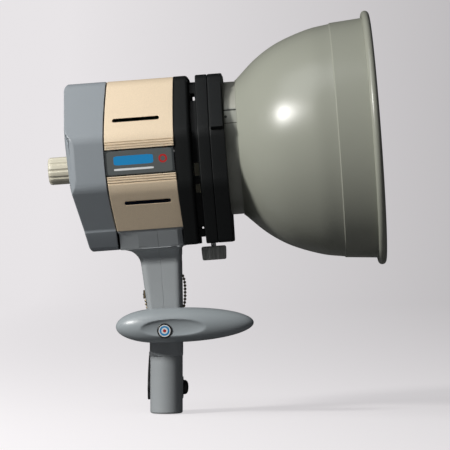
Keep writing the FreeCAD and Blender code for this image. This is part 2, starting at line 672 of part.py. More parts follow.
def rocker_switches():
    """Two switch bodies in the panel, each with a rocker that turns on its own two pins."""
    for label, y in (("main_switch", "rocker_y"), ("lamp_switch", "-rocker_y")):
        body = cut(fuse(box("panel_x", y + " - 6.5", "rocker_z - 10", "14", "13", "20"),
                        box("panel_x - 1", y + " - 7.5", "rocker_z - 11", "1", "15", "22")),
                   box("panel_x - 3", y + " - 5.3", "rocker_z - 8.7", "11", "10.6", "17.4"),
                   rod("rocker_pin + pin_gap", "12", "panel_x + 1", y + " - 6", "rocker_z", "Y"))
        piece(label + "_body", HEAD, body)
        profile = [("panel_x - 5", "rocker_z - 7.4"), ("panel_x - 2.2", "rocker_z"),
                   ("panel_x - 2.4", "rocker_z + 7.4"), ("panel_x + 1.5", "rocker_z + 7"),
                   ("panel_x + 4", "rocker_z"), ("panel_x + 1.5", "rocker_z - 7")]
        cap = prism("XZ_Plane", profile, "-(%s) - 4.9" % y, "9.8")
        pin = rod("rocker_pin", "11.6", "panel_x + 1", y + " - 5.8", "rocker_z", "Y")
        piece(label + "_rocker", HEAD, fuse(cap, pin))


def small_controls():
    """Test button, ready lamp, slave sensor, sync socket and fuse holder."""
    bezel = cut(rod("4", "9", "panel_x", "button_y", "top_row_z"),
                rod("3 + pin_gap", "30", "panel_x - 5", "button_y", "top_row_z"))
    piece("button_bezel", HEAD, bezel)
    piece("test_button", HEAD, rod("3", "8.5", "panel_x - 1.6", "button_y", "top_row_z"))
    lens = fuse(rod("2.5", "8", "panel_x - 0.5", "button_y", "second_row_z"),
                ball("2.5", "panel_x - 0.5", "button_y", "second_row_z"))
    piece("ready_lamp", HEAD, lens)
    dome = fuse(rod("7", "8", "panel_x", "0", "top_row_z"), ball("7", "panel_x", "0", "top_row_z"))
    piece("slave_sensor", HEAD, common(dome, wide_box("panel_x - 4.5", "20", "0", "12", "60")))
    barrel = fuse(rod("4.5", "14", "panel_x", "-button_y", "top_row_z"),
                  rod("5.6", "1", "panel_x - 1", "-button_y", "top_row_z"))
    piece("sync_socket", HEAD, cut(barrel, rod("2.2", "10", "panel_x - 2", "-button_y", "top_row_z")))
    holder = fuse(rod("6", "22", "panel_x", "-button_y", "second_row_z"),
                  rod("7", "1.5", "panel_x - 1.5", "-button_y", "second_row_z"))
    piece("fuse_holder", HEAD, holder)


# ---------------------------------------------------------------- inside the body

def inside_parts():
    """Chassis, circuit board, capacitors and transformer."""
    floor = "floor_z + wall"
    tray = fuse(
        wide_box("seam_x + 1", "33", floor, "shell_end - seam_x - 4", "1.5"),
        wide_box("seam_x + 1", "33", floor, "1.5", "96"),
        wide_box("seam_x + 1", "33", "-19", "shell_end - seam_x - 4", "1.5"))
    piece("chassis", HEAD, tray)
    cans = [rod("17", "44", "seam_x + 2.5", y, floor + " + 1.5 + 17.2") for y in ("-17.3", "17.3")]
    piece("flash_capacitors", HEAD, group(*cans))
    board = box("seam_x + 2.5", "30", "-17.5", "44", "1.6", "52")
    piece("control_board", HEAD, board)
    core = cut(wide_box("-22", "16", "-17.5", "30", "34"), wide_box("-23", "8.5", "-10", "32", "19"))
    piece("transformer_core", HEAD, core)
    piece("transformer_winding", HEAD, wide_box("-25", "8.5", "-10", "36", "19"))
    bulkhead = cut(prism("YZ_Plane", section("wall + 0.4"), "shell_end - 2", "2", soft_corners("wall + 0.4")),
                   rod("socket_radius", "20", "shell_end - 10", "0", "0"))
    piece("front_bulkhead", HEAD, bulkhead)


# ---------------------------------------------------------------- rings and adapter

def front_ring():
    """First black ring, in front of the shells, with a bevelled front edge."""
    outer = prism("YZ_Plane", ring_section(), "shell_end", "ring_end - shell_end", ring_corners())
    piece("front_ring", HEAD, cut(outer, rod("46", "40", "shell_end - 10", "0", "0")))


def vent_hub():
    """Set-back hub between ring and adapter, with windows that air passes through."""
    outer = prism("YZ_Plane", ring_section("hub_inset"), "ring_end", "gap_end - ring_end",
                  ring_corners("hub_inset / 2"))
    inner = prism("YZ_Plane", ring_section("hub_inset + 3"), "ring_end - 1", "gap_end - ring_end + 2")
    windows = [wide_box("ring_end + 0.9", "100", z, "gap_end - ring_end - 1.8", height)
               for z, height in (("38.5", "6"), ("-21", "10"), ("-34", "6.5"), ("-62.5", "1.5"))]
    piece("vent_hub", HEAD, cut(outer, inner, *windows))


def adapter_plates():
    """Two black plates that the reflector's collar slides into."""
    bore = "collar_radius + 0.35"
    for label, start, end, lock in (("adapter_plate_rear", "gap_end", "plate_split", True),
                                    ("adapter_plate_front", "plate_split", "plate_end", False)):
        plate = prism("YZ_Plane", ring_section(), start, "%s - %s" % (end, start), ring_corners())
        tools = [rod(bore, "60", "gap_end - 10", "0", "0")]
        if lock:
            tools.append(rod("lock_screw_radius + pin_gap", "40", "lock_x", "0", "chin_z - 5", "Z"))
        piece(label, HEAD, cut(plate, *tools))
    slope = [("-ring_half + 4", "facet_top - 2"), ("-ring_half - 2.6", "facet_top + 2.4"),
             ("-34.5", "52"), ("-29.5", "47.5")]
    cover = prism("YZ_Plane", slope, "plate_split + 1", "plate_end - plate_split - 2")
    seat = prism("YZ_Plane", ring_section(), "plate_split", "plate_end - plate_split", ring_corners())
    piece("latch_cover", HEAD, cut(cover, seat))


def reflector_lock():
    """Thumbscrew under the adapter that presses on the reflector's collar."""
    piece("lock_screw", HEAD, rod("lock_screw_radius", "-(collar_radius + body_gap) - lock_knob_low - 2",
                                  "lock_x", "0", "lock_knob_low + 2", "Z"))
    blank = turned([("0", "lock_screw_radius"), ("0", "lock_knob_radius - 1"), ("1", "lock_knob_radius"),
                    ("lock_knob_top - lock_knob_low - 1", "lock_knob_radius - 0.6"),
                    ("lock_knob_top - lock_knob_low", "lock_knob_radius - 1.4"),
                    ("lock_knob_top - lock_knob_low", "0"), ("lock_knob_top - lock_knob_low - 2", "0"),
                    ("lock_knob_top - lock_knob_low - 2", "lock_screw_radius")])
    notches = [rod("1.1", "20", "-4", "(lock_knob_radius + 0.3) * cos(%d)" % turn,
                   "(lock_knob_radius + 0.3) * sin(%d)" % turn) for turn in range(0, 360, 24)]
    piece("lock_knob", HEAD, cut(blank, *notches), at=("lock_x", "0", "lock_knob_top"), axis="-Z")


# ---------------------------------------------------------------- lamp and flash tube

def lamp_parts():
    """Ceramic base and socket, modelling lamp and ring-shaped flash tube."""
    posts = [rod("2.5", "11", "shell_end", "28 * cos(%d)" % turn, "28 * sin(%d)" % turn)
             for turn in (45, 135, 225, 315)]
    piece("base_posts", HEAD, group(*posts))
    disc = cut(rod("36", "5", "shell_end + 11", "0", "0"), rod("socket_radius", "40", "shell_end", "0", "0"),
               *flash_legs())
    piece("lamp_base", HEAD, disc)
    socket = cut(rod("socket_radius", "28", "shell_end - 2", "0", "0"),
                 rod("lamp_cap_radius", "20", "shell_end + 10", "0", "0"))
    piece("lamp_socket", HEAD, socket)
    piece("lamp_cap", HEAD, rod("lamp_cap_radius", "26", "shell_end + 10", "0", "0"))
    glass = turned([("58.5", "0"), ("58.5", "lamp_cap_radius - 1"), ("63", "lamp_radius"), ("104", "lamp_radius"),
                    ("112", "lamp_radius - 2.6"), ("117.5", "lamp_radius - 7"), ("120", "lamp_radius - 12"),
                    ("120.4", "0")])
    piece("lamp_bulb", HEAD, glass)
    ring = doc.addObject("Part::Torus", "FlashRing")
    bind(ring, Radius1="flash_ring", Radius2="flash_radius")
    ring.Angle3 = 320
    ring.Placement = FreeCAD.Placement(FreeCAD.Vector(value("flash_x"), 0, 0), flash_turn())
    ends = [ball("flash_radius", "flash_x", "flash_ring * sin(%d)" % turn, "-flash_ring * cos(%d)" % turn)
            for turn in (20, -20)]
    piece("flash_tube", HEAD, fuse(ring, *(ends + flash_legs())))


def flash_turn():
    """Lay the ring across the optical axis with its open part at the bottom."""
    across = FreeCAD.Rotation(FreeCAD.Vector(0, 1, 0), 90)
    return across.multiply(FreeCAD.Rotation(FreeCAD.Vector(0, 0, 1), 20))


def flash_legs():
    """Straight legs of the flash tube, from the ceramic base to the ends of the ring."""
    return [rod("flash_radius", "flash_x - shell_end - 11", "shell_end + 11", "flash_ring * sin(%d)" % turn,
                "-flash_ring * cos(%d)" % turn) for turn in (20, -20)]


# ---------------------------------------------------------------- reflector

def reflector():
    """Rolled collar with its rivet, and the spun bowl with a stepped band and a rolled rim."""
    collar = turned([("collar_back", "collar_radius - sheet_metal"), ("collar_back", "collar_radius"),
                     ("bowl_start", "collar_radius"), ("bowl_start", "collar_radius - sheet_metal")])
    piece("reflector_collar", HEAD, cut(collar, rod("1.5", "30", "64", "0", "collar_radius - 10", "Z")))
    piece("collar_rivet", HEAD, rod("1.5", "sheet_metal", "64", "0", "collar_radius - sheet_metal", "Z"))
    piece("reflector_bowl", HEAD, bowl())


def bowl():
    """Spun bowl as a part of revolution: smooth curve, step, slightly opening band, rolled rim."""
    shape = doc.addObject("Part::Feature", "Bowl")
    start = value("bowl_start")
    crease = value("bowl_crease")
    neck = value("collar_radius")
    metal = value("sheet_metal")
    rim_x = value("rim_x")
    rim_radius = value("rim_radius")
    roll = value("bead_radius")
    inner_neck = neck - metal

    def point(along, radius):
        return FreeCAD.Vector(along, 0, radius)

    def wall_curve(shift):
        curve = Part.BSplineCurve()
        curve.interpolate([point(start + 0.5, neck + 1.0 - shift), point(86.4 + shift * 0.7, 69.6 - shift * 0.7),
                           point(104.5 + shift * 0.5, 81.0 - shift * 0.8), point(128, 89.6 - shift),
                           point(crease, 93.0 - shift)])
        return curve.toShape()

    outside = wall_curve(0)
    inside = wall_curve(metal)
    step_out = point(crease + 0.8, 93.7)
    step_in = point(crease + 0.8, 93.7 - metal)
    band_out = point(rim_x - 1.0, rim_radius - 2.0)
    band_in = point(rim_x - 1.0, rim_radius - 2.0 - metal)
    edges = [
        Part.LineSegment(point(start, inner_neck), point(start, neck + 1.0)).toShape(),
        Part.LineSegment(point(start, neck + 1.0), point(start + 0.5, neck + 1.0)).toShape(),
        outside,
        Part.LineSegment(point(crease, 93.0), step_out).toShape(),
        Part.LineSegment(step_out, band_out).toShape(),
        Part.LineSegment(band_out, band_in).toShape(),
        Part.LineSegment(band_in, step_in).toShape(),
        Part.LineSegment(step_in, point(crease, 93.0 - metal)).toShape(),
        inside,
        Part.LineSegment(point(start + 0.5, neck + 1.0 - metal), point(start, inner_neck)).toShape(),
    ]
    profile = Part.Face(Part.Wire(Part.__sortEdges__(edges)))
    shell = profile.revolve(FreeCAD.Vector(), FreeCAD.Vector(1, 0, 0), 360)
    bead = Part.makeTorus(rim_radius, roll, point(rim_x, 0), FreeCAD.Vector(1, 0, 0))
    shape.Shape = shell.fuse(bead).removeSplitter()
    return shape


# ---------------------------------------------------------------- build and write

stand_socket()
clamp_hardware()
tilt_hardware()
tilt_lever()
rear_housing()
side_shells()
nameplates()
stalk_halves()
tilt_knuckle()
stalk_fasteners()
bead_chain()
control_panel()
power_control()
rocker_switches()
small_controls()
inside_parts()
front_ring()
vent_hub()
adapter_plates()
reflector_lock()
lamp_parts()
reflector()
doc.recompute()

failed = [thing.Label for thing in doc.Objects if {"Invalid", "Error"} & set(thing.State)]
failed += [shape.Label for shape in pieces if shape.Shape.isNull() or not shape.Shape.isValid()]
if failed:
    raise SystemExit("not built: " + ", ".join(failed))

os.makedirs("parts", exist_ok=True)
for shape in pieces:
    shape.Shape.exportStep("parts/%s.step" % shape.Label)
    solids = len(shape.Shape.Solids)
    print("%-22s %2d solid(s) %10.1f mm3" % (shape.Label, solids, shape.Shape.Volume))
print(len(pieces), "sub-parts")
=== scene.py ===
# %% [markdown]
# # A studio flash head, dressed in Blender
#
# The object is a studio light: a grey and champagne housing, black front rings, a wide bell
# reflector, and a stalk with a spindle-shaped tilt lever that stands on a stand socket.
# The frame below holds every part at its real size and place. This lesson gives each part
# its finish, and models again the parts whose looks need softer edges and finer detail.

import json
import math

import bmesh
import bpy
from mathutils import Matrix, Vector


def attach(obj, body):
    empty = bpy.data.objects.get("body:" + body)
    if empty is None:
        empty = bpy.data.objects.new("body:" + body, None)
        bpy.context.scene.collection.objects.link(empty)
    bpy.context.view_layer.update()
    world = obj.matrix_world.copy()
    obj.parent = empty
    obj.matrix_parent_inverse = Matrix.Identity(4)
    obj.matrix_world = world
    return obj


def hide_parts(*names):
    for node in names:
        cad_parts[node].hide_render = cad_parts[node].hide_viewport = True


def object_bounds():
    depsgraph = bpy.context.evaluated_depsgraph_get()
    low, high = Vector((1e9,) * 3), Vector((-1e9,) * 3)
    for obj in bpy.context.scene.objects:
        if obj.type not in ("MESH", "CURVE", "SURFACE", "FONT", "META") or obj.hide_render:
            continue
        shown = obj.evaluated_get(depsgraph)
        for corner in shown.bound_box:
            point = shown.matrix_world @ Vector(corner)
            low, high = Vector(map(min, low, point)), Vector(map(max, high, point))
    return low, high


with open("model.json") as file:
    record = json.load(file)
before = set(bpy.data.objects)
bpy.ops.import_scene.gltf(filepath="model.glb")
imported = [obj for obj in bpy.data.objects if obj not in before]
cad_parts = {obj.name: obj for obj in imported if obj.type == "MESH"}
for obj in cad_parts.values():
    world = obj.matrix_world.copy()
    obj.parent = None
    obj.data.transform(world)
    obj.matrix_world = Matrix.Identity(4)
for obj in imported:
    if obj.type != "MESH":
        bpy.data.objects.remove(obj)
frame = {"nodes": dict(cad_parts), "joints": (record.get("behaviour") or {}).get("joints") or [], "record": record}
cad_low, cad_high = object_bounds()
nodes = frame["nodes"]
bodies = frame["record"]["behaviour"]["bodies"]
BODY_OF = {node: body for body, members in bodies.items() for node in members}
SLOT_OF = {row["node"]: row["material_slot"] for row in frame["record"]["subparts"]}
MM = 0.001
for plain_colour in list(bpy.data.materials):
    bpy.data.materials.remove(plain_colour)
print("frame size in mm:", [round(side / MM, 1) for side in cad_high - cad_low])

# %% [markdown]
# ## Where things are
#
# The head leans back a little on its stalk, so its parts share an optical axis that isn't
# level. The tilt is read from the reflector's sliding joint, whose axis is that optical
# axis. A matrix from the head's own directions to the frame then places every new piece:
# X runs along the optical axis, Z is up across it, and its origin is on the axis.

# %% The head's own directions
joints = {joint["name"]: joint for joint in frame["joints"]}
optical = Vector(joints["reflector_slide"]["axis"]).normalized()
upward = Vector((-optical.z, 0, optical.x))
pivot = Vector(joints["head_tilt"]["pos_m"])
dial = Vector(joints["power_dial_turn"]["pos_m"])
DIAL_DROP = 8 * MM
axis_height = (dial - pivot).dot(upward) + DIAL_DROP


def directions(origin, along, up):
    """A matrix whose X is `along` and whose Z is `up`, with its origin at `origin`."""
    return Matrix.Translation(origin) @ Matrix((
        (along.x, 0, up.x, 0),
        (along.y, 1, up.y, 0),
        (along.z, 0, up.z, 0),
        (0, 0, 0, 1)))


HEAD = directions(pivot + upward * axis_height, optical, upward)
LEVER_SLOPE = math.radians(2)
LEVER = directions(pivot, Vector((math.cos(LEVER_SLOPE), 0, math.sin(LEVER_SLOPE))),
                   Vector((-math.sin(LEVER_SLOPE), 0, math.cos(LEVER_SLOPE))))
STAND = Matrix.Identity(4)
print("optical axis passes", [round(value / MM, 1) for value in HEAD.translation])

# %% [markdown]
# ## The camera
#
# The light is seen square from its side with a long lens from about two metres, which keeps
# the round reflector almost edge-on. The camera looks level, at about the middle of the
# object's height, and is turned a degree or so towards the front of the lamp.

# %% Camera
LENS = 216.0
SENSOR = 36.0
DISTANCE = 2.16
YAW = math.radians(1.4)
aim = Vector((46.8 * MM, 0, 150.4 * MM))
look = Vector((-math.sin(YAW), math.cos(YAW), 0))
bpy.ops.object.select_all(action="DESELECT")
bpy.ops.object.camera_add(location=aim - look * DISTANCE, rotation=look.to_track_quat("-Z", "Y").to_euler())
camera = bpy.context.active_object
camera.name = "side_view"
camera.data.lens = LENS
camera.data.sensor_width = SENSOR
camera.data.clip_end = 20
bpy.context.scene.camera = camera
bpy.context.scene.view_settings.view_transform = "Standard"

# %% [markdown]
# ## A pale sweep
#
# A pale sweep runs from the floor up into a wall, so no horizon cuts through the picture.
# A plane's far edge is extruded upwards into the wall, and the corner is bevelled round.

# %% Sweep of paper
FLOOR_DROP = 0.6 * MM


def mark_edges(thing, wanted):
    """Select just the edges of the mesh being edited whose two corners both pass a test."""
    bpy.ops.mesh.select_mode(type="EDGE")
    bpy.ops.mesh.select_all(action="DESELECT")
    shape = bmesh.from_edit_mesh(thing.data)
    for edge in shape.edges:
        edge.select = all(wanted(vertex.co) for vertex in edge.verts)
    bmesh.update_edit_mesh(thing.data)


bpy.ops.object.select_all(action="DESELECT")
bpy.ops.mesh.primitive_plane_add(size=1, location=(0, 0, cad_low.z - FLOOR_DROP))
sweep = bpy.context.active_object
sweep.name = "sweep"
sweep.scale = (10, 8, 1)
bpy.ops.object.transform_apply(location=True, rotation=True, scale=True)
bpy.ops.object.mode_set(mode="EDIT")
mark_edges(sweep, lambda co: co.y > 1)
bpy.ops.mesh.extrude_edges_move(TRANSFORM_OT_translate={"value": (0, 0, 4)})
mark_edges(sweep, lambda co: co.y > 1 and co.z < 1)
bpy.ops.mesh.bevel(offset=1.0, segments=20)
bpy.ops.object.mode_set(mode="OBJECT")
bpy.ops.object.shade_smooth()

# %% [markdown]
# ## Soft light
#
# One strong key softbox stands high on the left of the camera. It draws the round highlight
# on the bell and leaves the undersides dark. A wide, weak light from above opens the top, a
# faint one from the right keeps the shadow side from going black. A narrow spot looks into the
# mouth of the bowl, so that its lining shows from the front.

# %% Lights
def softbox(name, place, toward, size, power, tint):
    """A round area light at a place, turned towards another, in metres and watts."""
    bpy.ops.object.light_add(type="AREA", location=place)
    lamp = bpy.context.active_object
    lamp.name = name
    lamp.rotation_euler = (Vector(toward) - Vector(place)).to_track_quat("-Z", "Y").to_euler()
    lamp.data.shape = "DISK"
    lamp.data.size = size
    lamp.data.energy = power
    lamp.data.color = tint
    return lamp


KEY_WAY, KEY_REACH = Vector((-0.70, -0.565, 0.45)).normalized(), 1.5
softbox("key_softbox", aim + KEY_WAY * KEY_REACH, aim, 0.30, 22, (1.0, 0.985, 0.96))
softbox("top_softbox", aim + Vector((-0.55, -0.5, 1.15)), aim, 0.8, 4.2, (0.98, 0.99, 1.0))
softbox("right_fill", aim + Vector((1.5, -1.6, 0.25)), aim, 1.0, 0.8, (0.96, 0.98, 1.0))
MOUTH_PLACE, MOUTH_DEPTH, MOUTH_CONE, MOUTH_POWER = Vector((1.3, 0.3, 0.45)), 0.11, math.radians(9), 14
bpy.ops.object.light_add(type="SPOT", location=MOUTH_PLACE)
mouth_light = bpy.context.active_object
mouth_light.name = "mouth_light"
into_the_bowl = HEAD @ Vector((MOUTH_DEPTH, 0, 0)) - MOUTH_PLACE
mouth_light.rotation_euler = into_the_bowl.to_track_quat("-Z", "Y").to_euler()
mouth_light.data.spot_size = MOUTH_CONE
mouth_light.data.spot_blend = 0.3
mouth_light.data.energy = MOUTH_POWER
world = bpy.context.scene.world or bpy.data.worlds.new("studio")
bpy.context.scene.world = world
world.use_nodes = True
world.node_tree.nodes["Background"].inputs["Color"].default_value = (0.86, 0.88, 0.93, 1)
world.node_tree.nodes["Background"].inputs["Strength"].default_value = 0.05

# %% [markdown]
# ## Shared surface effects
#
# Paint is never perfectly even. One node group gives painted and moulded parts their fine
# orange-peel or grain as a bump, and a slow drift in gloss and lightness. A second finds
# outer edges and lightens them, as handling does. A third draws the fine lines of turned or
# brushed metal. Each is built once and placed in the materials with its own values.

# %% Help for node groups
def new_group(name, inputs, outputs):
    group = bpy.data.node_groups.new(name, "ShaderNodeTree")
    for label, kind, default in inputs:
        socket = group.interface.new_socket(label, in_out="INPUT", socket_type=kind)
        socket.default_value = default
    for label, kind in outputs:
        group.interface.new_socket(label, in_out="OUTPUT", socket_type=kind)
    return group, group.nodes.new("NodeGroupInput"), group.nodes.new("NodeGroupOutput")


def wire(tree, source, target):
    tree.links.new(source, target)


def math_node(tree, operation, *operands):
    """A Math node whose operands are sockets or plain numbers."""
    node = tree.nodes.new("ShaderNodeMath")
    node.operation = operation
    for index, operand in enumerate(operands):
        if isinstance(operand, (int, float)):
            node.inputs[index].default_value = operand
        else:
            wire(tree, operand, node.inputs[index])
    return node.outputs[0]


def noise(tree, vector, scale, detail=3.0):
    """A Noise node's value; the scale is a socket or a number."""
    node = tree.nodes.new("ShaderNodeTexNoise")
    node.inputs["Detail"].default_value = detail
    wire(tree, vector, node.inputs["Vector"])
    if isinstance(scale, (int, float)):
        node.inputs["Scale"].default_value = scale
    else:
        wire(tree, scale, node.inputs["Scale"])
    return node.outputs["Fac"]


def scaled_colour(tree, colour, factor):
    node = tree.nodes.new("ShaderNodeVectorMath")
    node.operation = "SCALE"
    wire(tree, colour, node.inputs[0])
    wire(tree, factor, node.inputs["Scale"])
    return node.outputs[0]


# %% The surface group
def surface_group():
    group, entry, leave = new_group("surface", [
        ("Colour", "NodeSocketColor", (0.5, 0.5, 0.5, 1)),
        ("Grain Scale", "NodeSocketFloat", 900.0),
        ("Grain Depth", "NodeSocketFloat", 0.1),
        ("Roughness", "NodeSocketFloat", 0.4),
        ("Drift", "NodeSocketFloat", 0.1),
        ("Speckle", "NodeSocketFloat", 0.0),
    ], [("Colour", "NodeSocketColor"), ("Roughness", "NodeSocketFloat"), ("Normal", "NodeSocketVector")])
    place = group.nodes.new("ShaderNodeTexCoord").outputs["Object"]
    fine = noise(group, place, entry.outputs["Grain Scale"])
    slow = noise(group, place, 38, 5)
    bump = group.nodes.new("ShaderNodeBump")
    bump.inputs["Distance"].default_value = 0.3 * MM
    wire(group, fine, bump.inputs["Height"])
    wire(group, entry.outputs["Grain Depth"], bump.inputs["Strength"])
    wire(group, bump.outputs["Normal"], leave.inputs["Normal"])
    swing = math_node(group, "MULTIPLY", math_node(group, "SUBTRACT", slow, 0.5), entry.outputs["Drift"])
    wire(group, math_node(group, "ADD", entry.outputs["Roughness"], swing), leave.inputs["Roughness"])
    dots = math_node(group, "MULTIPLY", math_node(group, "SUBTRACT", fine, 0.5), entry.outputs["Speckle"])
    light = math_node(group, "ADD", math_node(group, "MULTIPLY_ADD", swing, 0.6, 1.0), dots)
    wire(group, scaled_colour(group, entry.outputs["Colour"], light), leave.inputs["Colour"])
    return group


# %% The edge wear group
def edge_group():
    group, entry, leave = new_group("edge_wear", [
        ("Colour", "NodeSocketColor", (0.5, 0.5, 0.5, 1)),
        ("Amount", "NodeSocketFloat", 0.3),
    ], [("Colour", "NodeSocketColor")])
    place = group.nodes.new("ShaderNodeTexCoord").outputs["Object"]
    sharp = group.nodes.new("ShaderNodeNewGeometry").outputs["Pointiness"]
    ramp = group.nodes.new("ShaderNodeMapRange")
    ramp.inputs["From Min"].default_value = 0.53
    ramp.inputs["From Max"].default_value = 0.60
    wire(group, sharp, ramp.inputs["Value"])
    patchy = math_node(group, "MULTIPLY", ramp.outputs["Result"], noise(group, place, 140, 4))
    lift = math_node(group, "MULTIPLY_ADD", patchy, entry.outputs["Amount"], 1.0)
    wire(group, scaled_colour(group, entry.outputs["Colour"], lift), leave.inputs["Colour"])
    return group


# %% The turned metal group
def turned_group():
    group, entry, leave = new_group("turned_metal", [
        ("Colour", "NodeSocketColor", (0.5, 0.5, 0.5, 1)),
        ("Roughness", "NodeSocketFloat", 0.35),
        ("Lines", "NodeSocketFloat", 0.2),
    ], [("Colour", "NodeSocketColor"), ("Roughness", "NodeSocketFloat"), ("Normal", "NodeSocketVector")])
    mapping = group.nodes.new("ShaderNodeMapping")
    mapping.inputs["Scale"].default_value = (1900, 30, 30)
    wire(group, group.nodes.new("ShaderNodeTexCoord").outputs["Object"], mapping.inputs["Vector"])
    lines = noise(group, mapping.outputs["Vector"], 1.0, 2)
    centred = math_node(group, "MULTIPLY", math_node(group, "SUBTRACT", lines, 0.5), entry.outputs["Lines"])
    wire(group, math_node(group, "ADD", entry.outputs["Roughness"], centred), leave.inputs["Roughness"])
    light = math_node(group, "MULTIPLY_ADD", centred, 0.7, 1.0)
    wire(group, scaled_colour(group, entry.outputs["Colour"], light), leave.inputs["Colour"])
    bump = group.nodes.new("ShaderNodeBump")
    bump.inputs["Distance"].default_value = 0.08 * MM
    wire(group, lines, bump.inputs["Height"])
    wire(group, entry.outputs["Lines"], bump.inputs["Strength"])
    wire(group, bump.outputs["Normal"], leave.inputs["Normal"])
    return group


SURFACE, EDGES, TURNED = surface_group(), edge_group(), turned_group()


# %% [markdown]
# ## Finishes
#
# A finish is the Principled shader with one of the groups in front of it. Constant values,
# such as the coat or the metallic share, stay on the shader's own sockets. Each material
# slot of the record gets a finish of its own.

# %% Two kinds of finish
def new_finish(name, metallic=0.0, coat=0.0, specular=0.5):
    material = bpy.data.materials.new(name)
    material.use_nodes = True
    shader = material.node_tree.nodes["Principled BSDF"]
    shader.inputs["Metallic"].default_value = metallic
    shader.inputs["Coat Weight"].default_value = coat
    shader.inputs["Coat Roughness"].default_value = 0.08
    shader.inputs["Specular IOR Level"].default_value = specular
    return material, material.node_tree, shader


def place_group(tree, shader, group, values):
    """Put a group into a material with its values, and join its outputs to the shader."""
    effect = tree.nodes.new("ShaderNodeGroup")
    effect.node_tree = group
    for label, amount in values.items():
        effect.inputs[label].default_value = amount
    for output, target in (("Colour", "Base Color"), ("Roughness", "Roughness"), ("Normal", "Normal")):
        if output in effect.outputs:
            wire(tree, effect.outputs[output], shader.inputs[target])
    return effect


def painted(name, colour, roughness, scale=900, grain=0.1, drift=0.1, speckle=0.0, wear=0.0,
            **shader_values):
    """Paint or moulded plastic: colour, gloss and grain come through the surface group."""
    material, tree, shader = new_finish(name, **shader_values)
    effect = place_group(tree, shader, SURFACE, {
        "Colour": (*colour, 1), "Grain Scale": scale, "Grain Depth": grain, "Roughness": roughness,
        "Drift": drift, "Speckle": speckle})
    if wear:
        worn = place_group(tree, shader, EDGES, {"Amount": wear})
        wire(tree, effect.outputs["Colour"], worn.inputs["Colour"])
    return material


def machined(name, colour, roughness, lines, metallic=1.0):
    """Turned or brushed metal with fine lines across the optical axis."""
    material, tree, shader = new_finish(name, metallic=metallic)
    place_group(tree, shader, TURNED, {"Colour": (*colour, 1), "Roughness": roughness, "Lines": lines})
    return material


# %% Paints and plastics
finishes = {finish.name: finish for finish in (
    painted("bracket_grey", (0.36, 0.385, 0.40), 0.42, 700, 0.22, 0.20, 0.0, 0.25),
    painted("lever_grey", (0.325, 0.36, 0.38), 0.34, 1100, 0.08, 0.08),
    painted("housing_grey", (0.262, 0.29, 0.315), 0.42, 800, 0.16, 0.10, 0.0, 0.2),
    painted("champagne", (0.80, 0.655, 0.475), 0.50, 1300, 0.30, 0.06, 0.25, 0.10, metallic=0.15),
    painted("ring_black", (0.0055, 0.0065, 0.0068), 0.5, 1200, 0.35, 0.15, 0.2, 0.9, specular=0.25),
    painted("black_plastic", (0.014, 0.014, 0.015), 0.35, 1500, 0.2, 0.15),
    painted("washer_fibre", (0.25, 0.12, 0.08), 0.8, 1500, 0.5, 0.1, 0.4),
    painted("graphite_metal", (0.46, 0.47, 0.45), 0.38, 900, 0.15, 0.15, metallic=0.1),
    painted("copper_wire", (0.60, 0.27, 0.12), 0.35, 900, 0.3, 0.2, metallic=0.7),
    painted("ivory_plastic", (0.60, 0.57, 0.46), 0.40, 1200, 0.12, 0.06),
    painted("red_lens", (0.55, 0.03, 0.02), 0.10, 300, 0.0, 0.02, coat=0.5),
    painted("smoked_lens", (0.10, 0.015, 0.015), 0.08, 300, 0.0, 0.02, coat=0.6),
    painted("capacitor_blue", (0.04, 0.08, 0.24), 0.25, 500, 0.05, 0.1),
    painted("board_green", (0.03, 0.15, 0.07), 0.35, 700, 0.1, 0.1, 0.6),
    painted("ceramic_white", (0.70, 0.66, 0.55), 0.55, 1300, 0.25, 0.08, 0.1),
    painted("reflector_paint", (0.315, 0.325, 0.275), 0.30, 1300, 0.07, 0.05),
    machined("steel", (0.55, 0.55, 0.56), 0.30, 0.20),
    machined("zinc_sheet", (0.60, 0.61, 0.62), 0.38, 0.12),
    machined("chain_brass", (0.40, 0.33, 0.22), 0.30, 0.10),
    machined("cap_brass", (0.75, 0.60, 0.35), 0.28, 0.25),
    machined("collar_metal", (0.38, 0.39, 0.345), 0.36, 0.16, metallic=0.35),
)}
print("finishes so far:", len(finishes))

# %% [markdown]
# ## Printed marks and painted light
#
# The nameplates, the badge and the control panel carry printing. A `patch` group gives a
# soft-cornered shape as a mask: its power is 2 for an ellipse, and more for a shape nearer a
# rectangle. A Mapping node first turns the coordinates to the head's own directions, so the
# shapes are placed in millimetres along and across it. The marks are plain bands and rings.
# On the reflector's collar, the marks draw its seams and rivet hole, and a pale patch of painted light where light
# from above falls on its upper part.

# %% The patch group and its use
def patch_group():
    group, entry, leave = new_group("patch", [
        ("Vector", "NodeSocketVector", (0, 0, 0)),
        ("Centre", "NodeSocketVector", (0, 0, 0)),
        ("Half", "NodeSocketVector", (1, 1, 1)),
        ("Power", "NodeSocketFloat", 2.0),
    ], [("Mask", "NodeSocketFloat")])
    offset = group.nodes.new("ShaderNodeVectorMath")
    offset.operation = "SUBTRACT"
    wire(group, entry.outputs["Vector"], offset.inputs[0])
    wire(group, entry.outputs["Centre"], offset.inputs[1])
    share = group.nodes.new("ShaderNodeVectorMath")
    share.operation = "DIVIDE"
    wire(group, offset.outputs[0], share.inputs[0])
    wire(group, entry.outputs["Half"], share.inputs[1])
    parts = group.nodes.new("ShaderNodeSeparateXYZ")
    wire(group, share.outputs[0], parts.inputs[0])
    sizes = [math_node(group, "ABSOLUTE", parts.outputs[axis]) for axis in ("X", "Y", "Z")]
    raised = [math_node(group, "POWER", size, entry.outputs["Power"]) for size in sizes]
    total = math_node(group, "ADD", math_node(group, "ADD", raised[0], raised[1]), raised[2])
    wire(group, math_node(group, "LESS_THAN", total, 1.0), leave.inputs["Mask"])
    return group


PATCH = patch_group()


